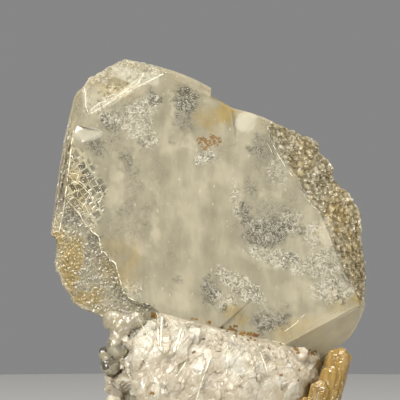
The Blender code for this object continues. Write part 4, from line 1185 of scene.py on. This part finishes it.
def make_crust(settings):
    """The crust's crystals with their own facets, and small crystals that stand out of them on all sides."""
    def spacing_at(place):
        return settings.crust_spacing / MM * (5.0 if place.z < 0.3 else 1.0)

    material = crust_material(settings)
    mesh, points, normals = fine_mesh("crystal_base", "crust_crystals", spacing_at, 4)
    outward = (points - CRUST_MIDDLE) * (0.4, 1.0, 0.0)
    outward /= np.maximum(np.linalg.norm(outward, axis=1), 1e-6)[:, None]
    fill = ((relaxed(mesh, points, 180) - points) * outward).sum(axis=1)
    outer = smooth_step(6.8, 8.0, np.abs(points[:, 1])) * smooth_step(0.0, 1.5, points[:, 2])
    points = points + outward * (settings.groove_fill * np.clip(fill, 0, 3) * outer)[:, None]
    height = facet_relief(points, "crust") + facet_relief(points, "fine crust")
    height *= smooth_step(0.0, 1.5, points[:, 2])
    set_places(mesh, relaxed(mesh, points + normals * height[:, None], 1))
    store_crust_zones(mesh)
    add_piece("crust_crystals", mesh, material, ["crystal_base"])

    tree = scatter_tree(material)
    longest, density = settings.druse_longest, settings.druse_density
    sizes = {"Longest": longest, "Shortest": longest * 0.3, "Lean": 0.45, "Seed": 5, "Density": density}
    grown = [made_by(tree, "small_crystals", crust_without_foot(mesh), sizes), foot_collar(), front_skin()]
    grown.append(made_by(tree, "front_crystals", grown[-1].copy(), {**sizes, "Seed": 8, "Density": density / 2}))
    for made in grown:
        store_crust_zones(made)
        add_piece(made.name, made, material)


def under_plate(place):
    """True for places too near the tabular crystal's foot, or under the crust."""
    in_socket = abs(place.y) < 7.0 and abs(place.x) < 24.0 and place.z > 17.0
    return place.z < 0.5 or place.z > junction(place.x) - 2.0 or in_socket


class BariteSettings(bpy.types.PropertyGroup):
    """Sizes and colours of the specimen."""

    plate_spacing: FloatProperty(
        name="Plate mesh spacing", description="Edge length of the tabular crystal's triangles",
        default=0.00034, unit="LENGTH", subtype="DISTANCE", precision=6,
    )
    crust_spacing: FloatProperty(
        name="Crust mesh spacing", description="Edge length of the crust's triangles",
        default=0.00042, unit="LENGTH", subtype="DISTANCE", precision=6,
    )
    groove_fill: FloatProperty(
        name="Groove fill", description="How far the grooves between the crust's crystals are grown shut",
        default=1.0, min=0.0, max=1.0,
    )
    druse_density: FloatProperty(
        name="Small crystal density", description="Small crystals for each square metre of crust",
        default=90000.0,
    )
    druse_longest: FloatProperty(
        name="Tallest small crystal", description="Height of the tallest small crystal of the crust",
        default=0.0011, unit="LENGTH", subtype="DISTANCE", precision=5,
    )
    milk_color: FloatVectorProperty(
        name="Milky crystal", description="Colour of the milky zones", subtype="COLOR", default=(0.84, 0.77, 0.56),
    )
    haze_color: FloatVectorProperty(
        name="Hazy crystal", description="Colour of the greyer zones between", subtype="COLOR",
        default=(0.4, 0.365, 0.26),
    )
    window_color: FloatVectorProperty(
        name="Clear crystal", description="Colour of the clear windows", subtype="COLOR",
        default=(0.13, 0.12, 0.09),
    )
    speck_color: FloatVectorProperty(
        name="Dark specks", description="Colour of the dark specks in the clear windows", subtype="COLOR",
        default=(0.05, 0.045, 0.035),
    )
    line_color: FloatVectorProperty(
        name="Mosaic lines", description="Colour of the light lines of the mosaic", subtype="COLOR",
        default=(0.85, 0.78, 0.5),
    )
    # Partly the bright etch, partly painted highlight: it colours the glints, the outline band, the scale tops and
    # the sparkle flecks
    spark_color: FloatVectorProperty(
        name="Bright etch and highlight", description="Colour of bright etched facets", subtype="COLOR",
        default=(0.98, 0.94, 0.76),
    )
    scale_color: FloatVectorProperty(
        name="Scales", description="Colour of the scaly slopes", subtype="COLOR", default=(0.66, 0.58, 0.36),
    )
    # Painted shade in the hollows between the scales
    scale_shade_color: FloatVectorProperty(
        name="Scale shade", description="Colour between the scales", subtype="COLOR", default=(0.26, 0.205, 0.1),
    )
    honey_color: FloatVectorProperty(
        name="Honey rim", description="Tint of the yellow rims", subtype="COLOR", default=(0.98, 0.8, 0.42),
    )
    rust_color: FloatVectorProperty(
        name="Rust", description="Colour of the iron stains", subtype="COLOR", default=(0.25, 0.13, 0.008),
    )
    crust_color: FloatVectorProperty(
        name="Crust", description="Colour of the crust crystals", subtype="COLOR", default=(0.55, 0.488, 0.362),
    )
    # Painted shade of the crust, which also gives its random darker tone
    crust_shadow_color: FloatVectorProperty(
        name="Crust shade", description="Colour of the crust's denser crystals", subtype="COLOR",
        default=(0.49, 0.42, 0.305),
    )
    # Painted highlight on the crust's bright facets and their edges, also its light strokes and the lobes' facet
    # edges
    crust_highlight_color: FloatVectorProperty(
        name="Bright crust", description="Colour of the crust's bright facets", subtype="COLOR",
        default=(0.71, 0.67, 0.56),
    )
    amber_color: FloatVectorProperty(
        name="Amber", description="Colour of the amber columns", subtype="COLOR", default=(0.8, 0.54, 0.14),
    )
    amber_shadow_color: FloatVectorProperty(
        name="Dark amber", description="Colour of the dark streaks in the amber", subtype="COLOR",
        default=(0.42, 0.25, 0.06),
    )
    amber_pale_color: FloatVectorProperty(
        name="Pale amber", description="Colour of the clear streaks in the amber", subtype="COLOR",
        default=(0.82, 0.72, 0.46),
    )


class BARITE_OT_plate(bpy.types.Operator):
    """Makes the tabular crystal with its etched layers."""

    bl_idname = "barite.plate"
    bl_label = "Tabular crystal"

    def execute(self, context):
        make_plate(context.scene.barite)
        return {"FINISHED"}


class BARITE_OT_crust(bpy.types.Operator):
    """Dresses the crust and grows its small crystals."""

    bl_idname = "barite.crust"
    bl_label = "Crust"

    def execute(self, context):
        make_crust(context.scene.barite)
        return {"FINISHED"}


class BARITE_OT_side_crystals(bpy.types.Operator):
    """Makes the glassy lobes and the amber columns."""

    bl_idname = "barite.side_crystals"
    bl_label = "Side crystals"

    def execute(self, context):
        make_lobes(context.scene.barite)
        make_amber(context.scene.barite)
        return {"FINISHED"}


class BARITE_OT_growth_lines(bpy.types.Operator):
    """Makes the bright growth lines, the dark hollows and the crust's rods."""

    bl_idname = "barite.growth_lines"
    bl_label = "Growth lines"

    def execute(self, context):
        make_lines(context.scene.barite)
        return {"FINISHED"}


class BARITE_OT_stains(bpy.types.Operator):
    """Makes the iron stains along the foot of the tabular crystal."""

    bl_idname = "barite.stains"
    bl_label = "Iron stains"

    def execute(self, context):
        make_stains(context.scene.barite)
        return {"FINISHED"}


class BARITE_OT_stage(bpy.types.Operator):
    """Makes the pale floor, the soft lights and the camera."""

    bl_idname = "barite.stage"
    bl_label = "Stage"

    def execute(self, context):
        make_floor()
        make_lights()
        make_camera()
        return {"FINISHED"}


class BARITE_PT_panel(bpy.types.Panel):
    """Lists the specimen's pieces and settings."""

    bl_label = "Barite crystal"
    bl_idname = "BARITE_PT_panel"
    bl_space_type = "VIEW_3D"
    bl_region_type = "UI"
    bl_category = "Barite"

    def draw(self, context):
        for name in context.scene.barite.bl_rna.properties.keys():
            if name not in ("rna_type", "name"):
                self.layout.prop(context.scene.barite, name)
        for operator in OPERATORS:
            self.layout.operator(operator.bl_idname)


FLOOR_RADIUS = 0.3
FLOOR_COLOR = (0.4, 0.395, 0.385)
WORLD_GREY = 0.24


def make_floor():
    bm = bmesh.new()
    bmesh.ops.create_circle(bm, cap_ends=True, segments=96, radius=FLOOR_RADIUS)
    mesh = bpy.data.meshes.new("floor")
    bm.to_mesh(mesh)
    bm.free()
    floor = bpy.data.objects.new("floor", mesh)
    bpy.context.scene.collection.objects.link(floor)
    material, tree, shader = new_material("pale_floor")
    shader.inputs["Base Color"].default_value = (*FLOOR_COLOR, 1.0)
    shader.inputs["Roughness"].default_value = 0.7
    mesh.materials.append(material)


LIGHTS = {
    # name: place, aimed at, width, watts, colour
    "key": ((-0.42, -0.52, 0.36), (0, 0, 0.045), 0.36, 6.2, (1.0, 0.97, 0.91)),
    "fill": ((0.5, -0.5, 0.1), (0, 0, 0.035), 0.45, 3.2, (1.0, 0.98, 0.95)),
    "top": ((0.0, -0.1, 0.56), (0, 0, 0.05), 0.3, 2.2, (1.0, 0.99, 0.96)),
}


def make_lights():
    for name, (place, target, width, watts, color) in LIGHTS.items():
        light = bpy.data.lights.new(name, "AREA")
        light.shape = "SQUARE"
        light.size = width
        light.energy = watts
        light.color = color
        obj = bpy.data.objects.new(name, light)
        obj.location = place
        obj.rotation_euler = (Vector(target) - Vector(place)).to_track_quat("-Z", "Y").to_euler()
        bpy.context.scene.collection.objects.link(obj)
    world = bpy.data.worlds.new("studio")
    world.use_nodes = True
    world.node_tree.nodes["Background"].inputs["Color"].default_value = (WORLD_GREY,) * 3 + (1.0,)
    bpy.context.scene.world = world
    bpy.context.scene.view_settings.view_transform = "Standard"


# Camera: level with the crystal, far enough away for an almost parallel view
CAMERA_CENTRE = (-0.0017, 0.0, 0.052)
CAMERA_DISTANCE = 0.6
VIEW_WIDTH = 0.08


def make_camera():
    data = bpy.data.cameras.new("camera")
    data.sensor_width = 36.0
    data.lens = data.sensor_width * CAMERA_DISTANCE / VIEW_WIDTH
    data.clip_start = 0.01
    camera = bpy.data.objects.new("camera", data)
    camera.location = Vector(CAMERA_CENTRE) - Vector((0, CAMERA_DISTANCE, 0))
    camera.rotation_euler = (math.radians(90), 0, 0)
    bpy.context.scene.collection.objects.link(camera)
    bpy.context.scene.camera = camera


OPERATORS = (
    BARITE_OT_plate, BARITE_OT_crust, BARITE_OT_side_crystals, BARITE_OT_growth_lines, BARITE_OT_stains,
    BARITE_OT_stage,
)
CLASSES = (BariteSettings, *OPERATORS, BARITE_PT_panel)


def register():
    for cls in CLASSES:
        bpy.utils.register_class(cls)
    bpy.types.Scene.barite = PointerProperty(type=BariteSettings)


def unregister():
    del bpy.types.Scene.barite
    for cls in reversed(CLASSES):
        bpy.utils.unregister_class(cls)


def main():
    register()
    for operator in OPERATORS:
        group, name = operator.bl_idname.split(".")
        getattr(getattr(bpy.ops, group), name)()


if __name__ == "__main__":
    main()
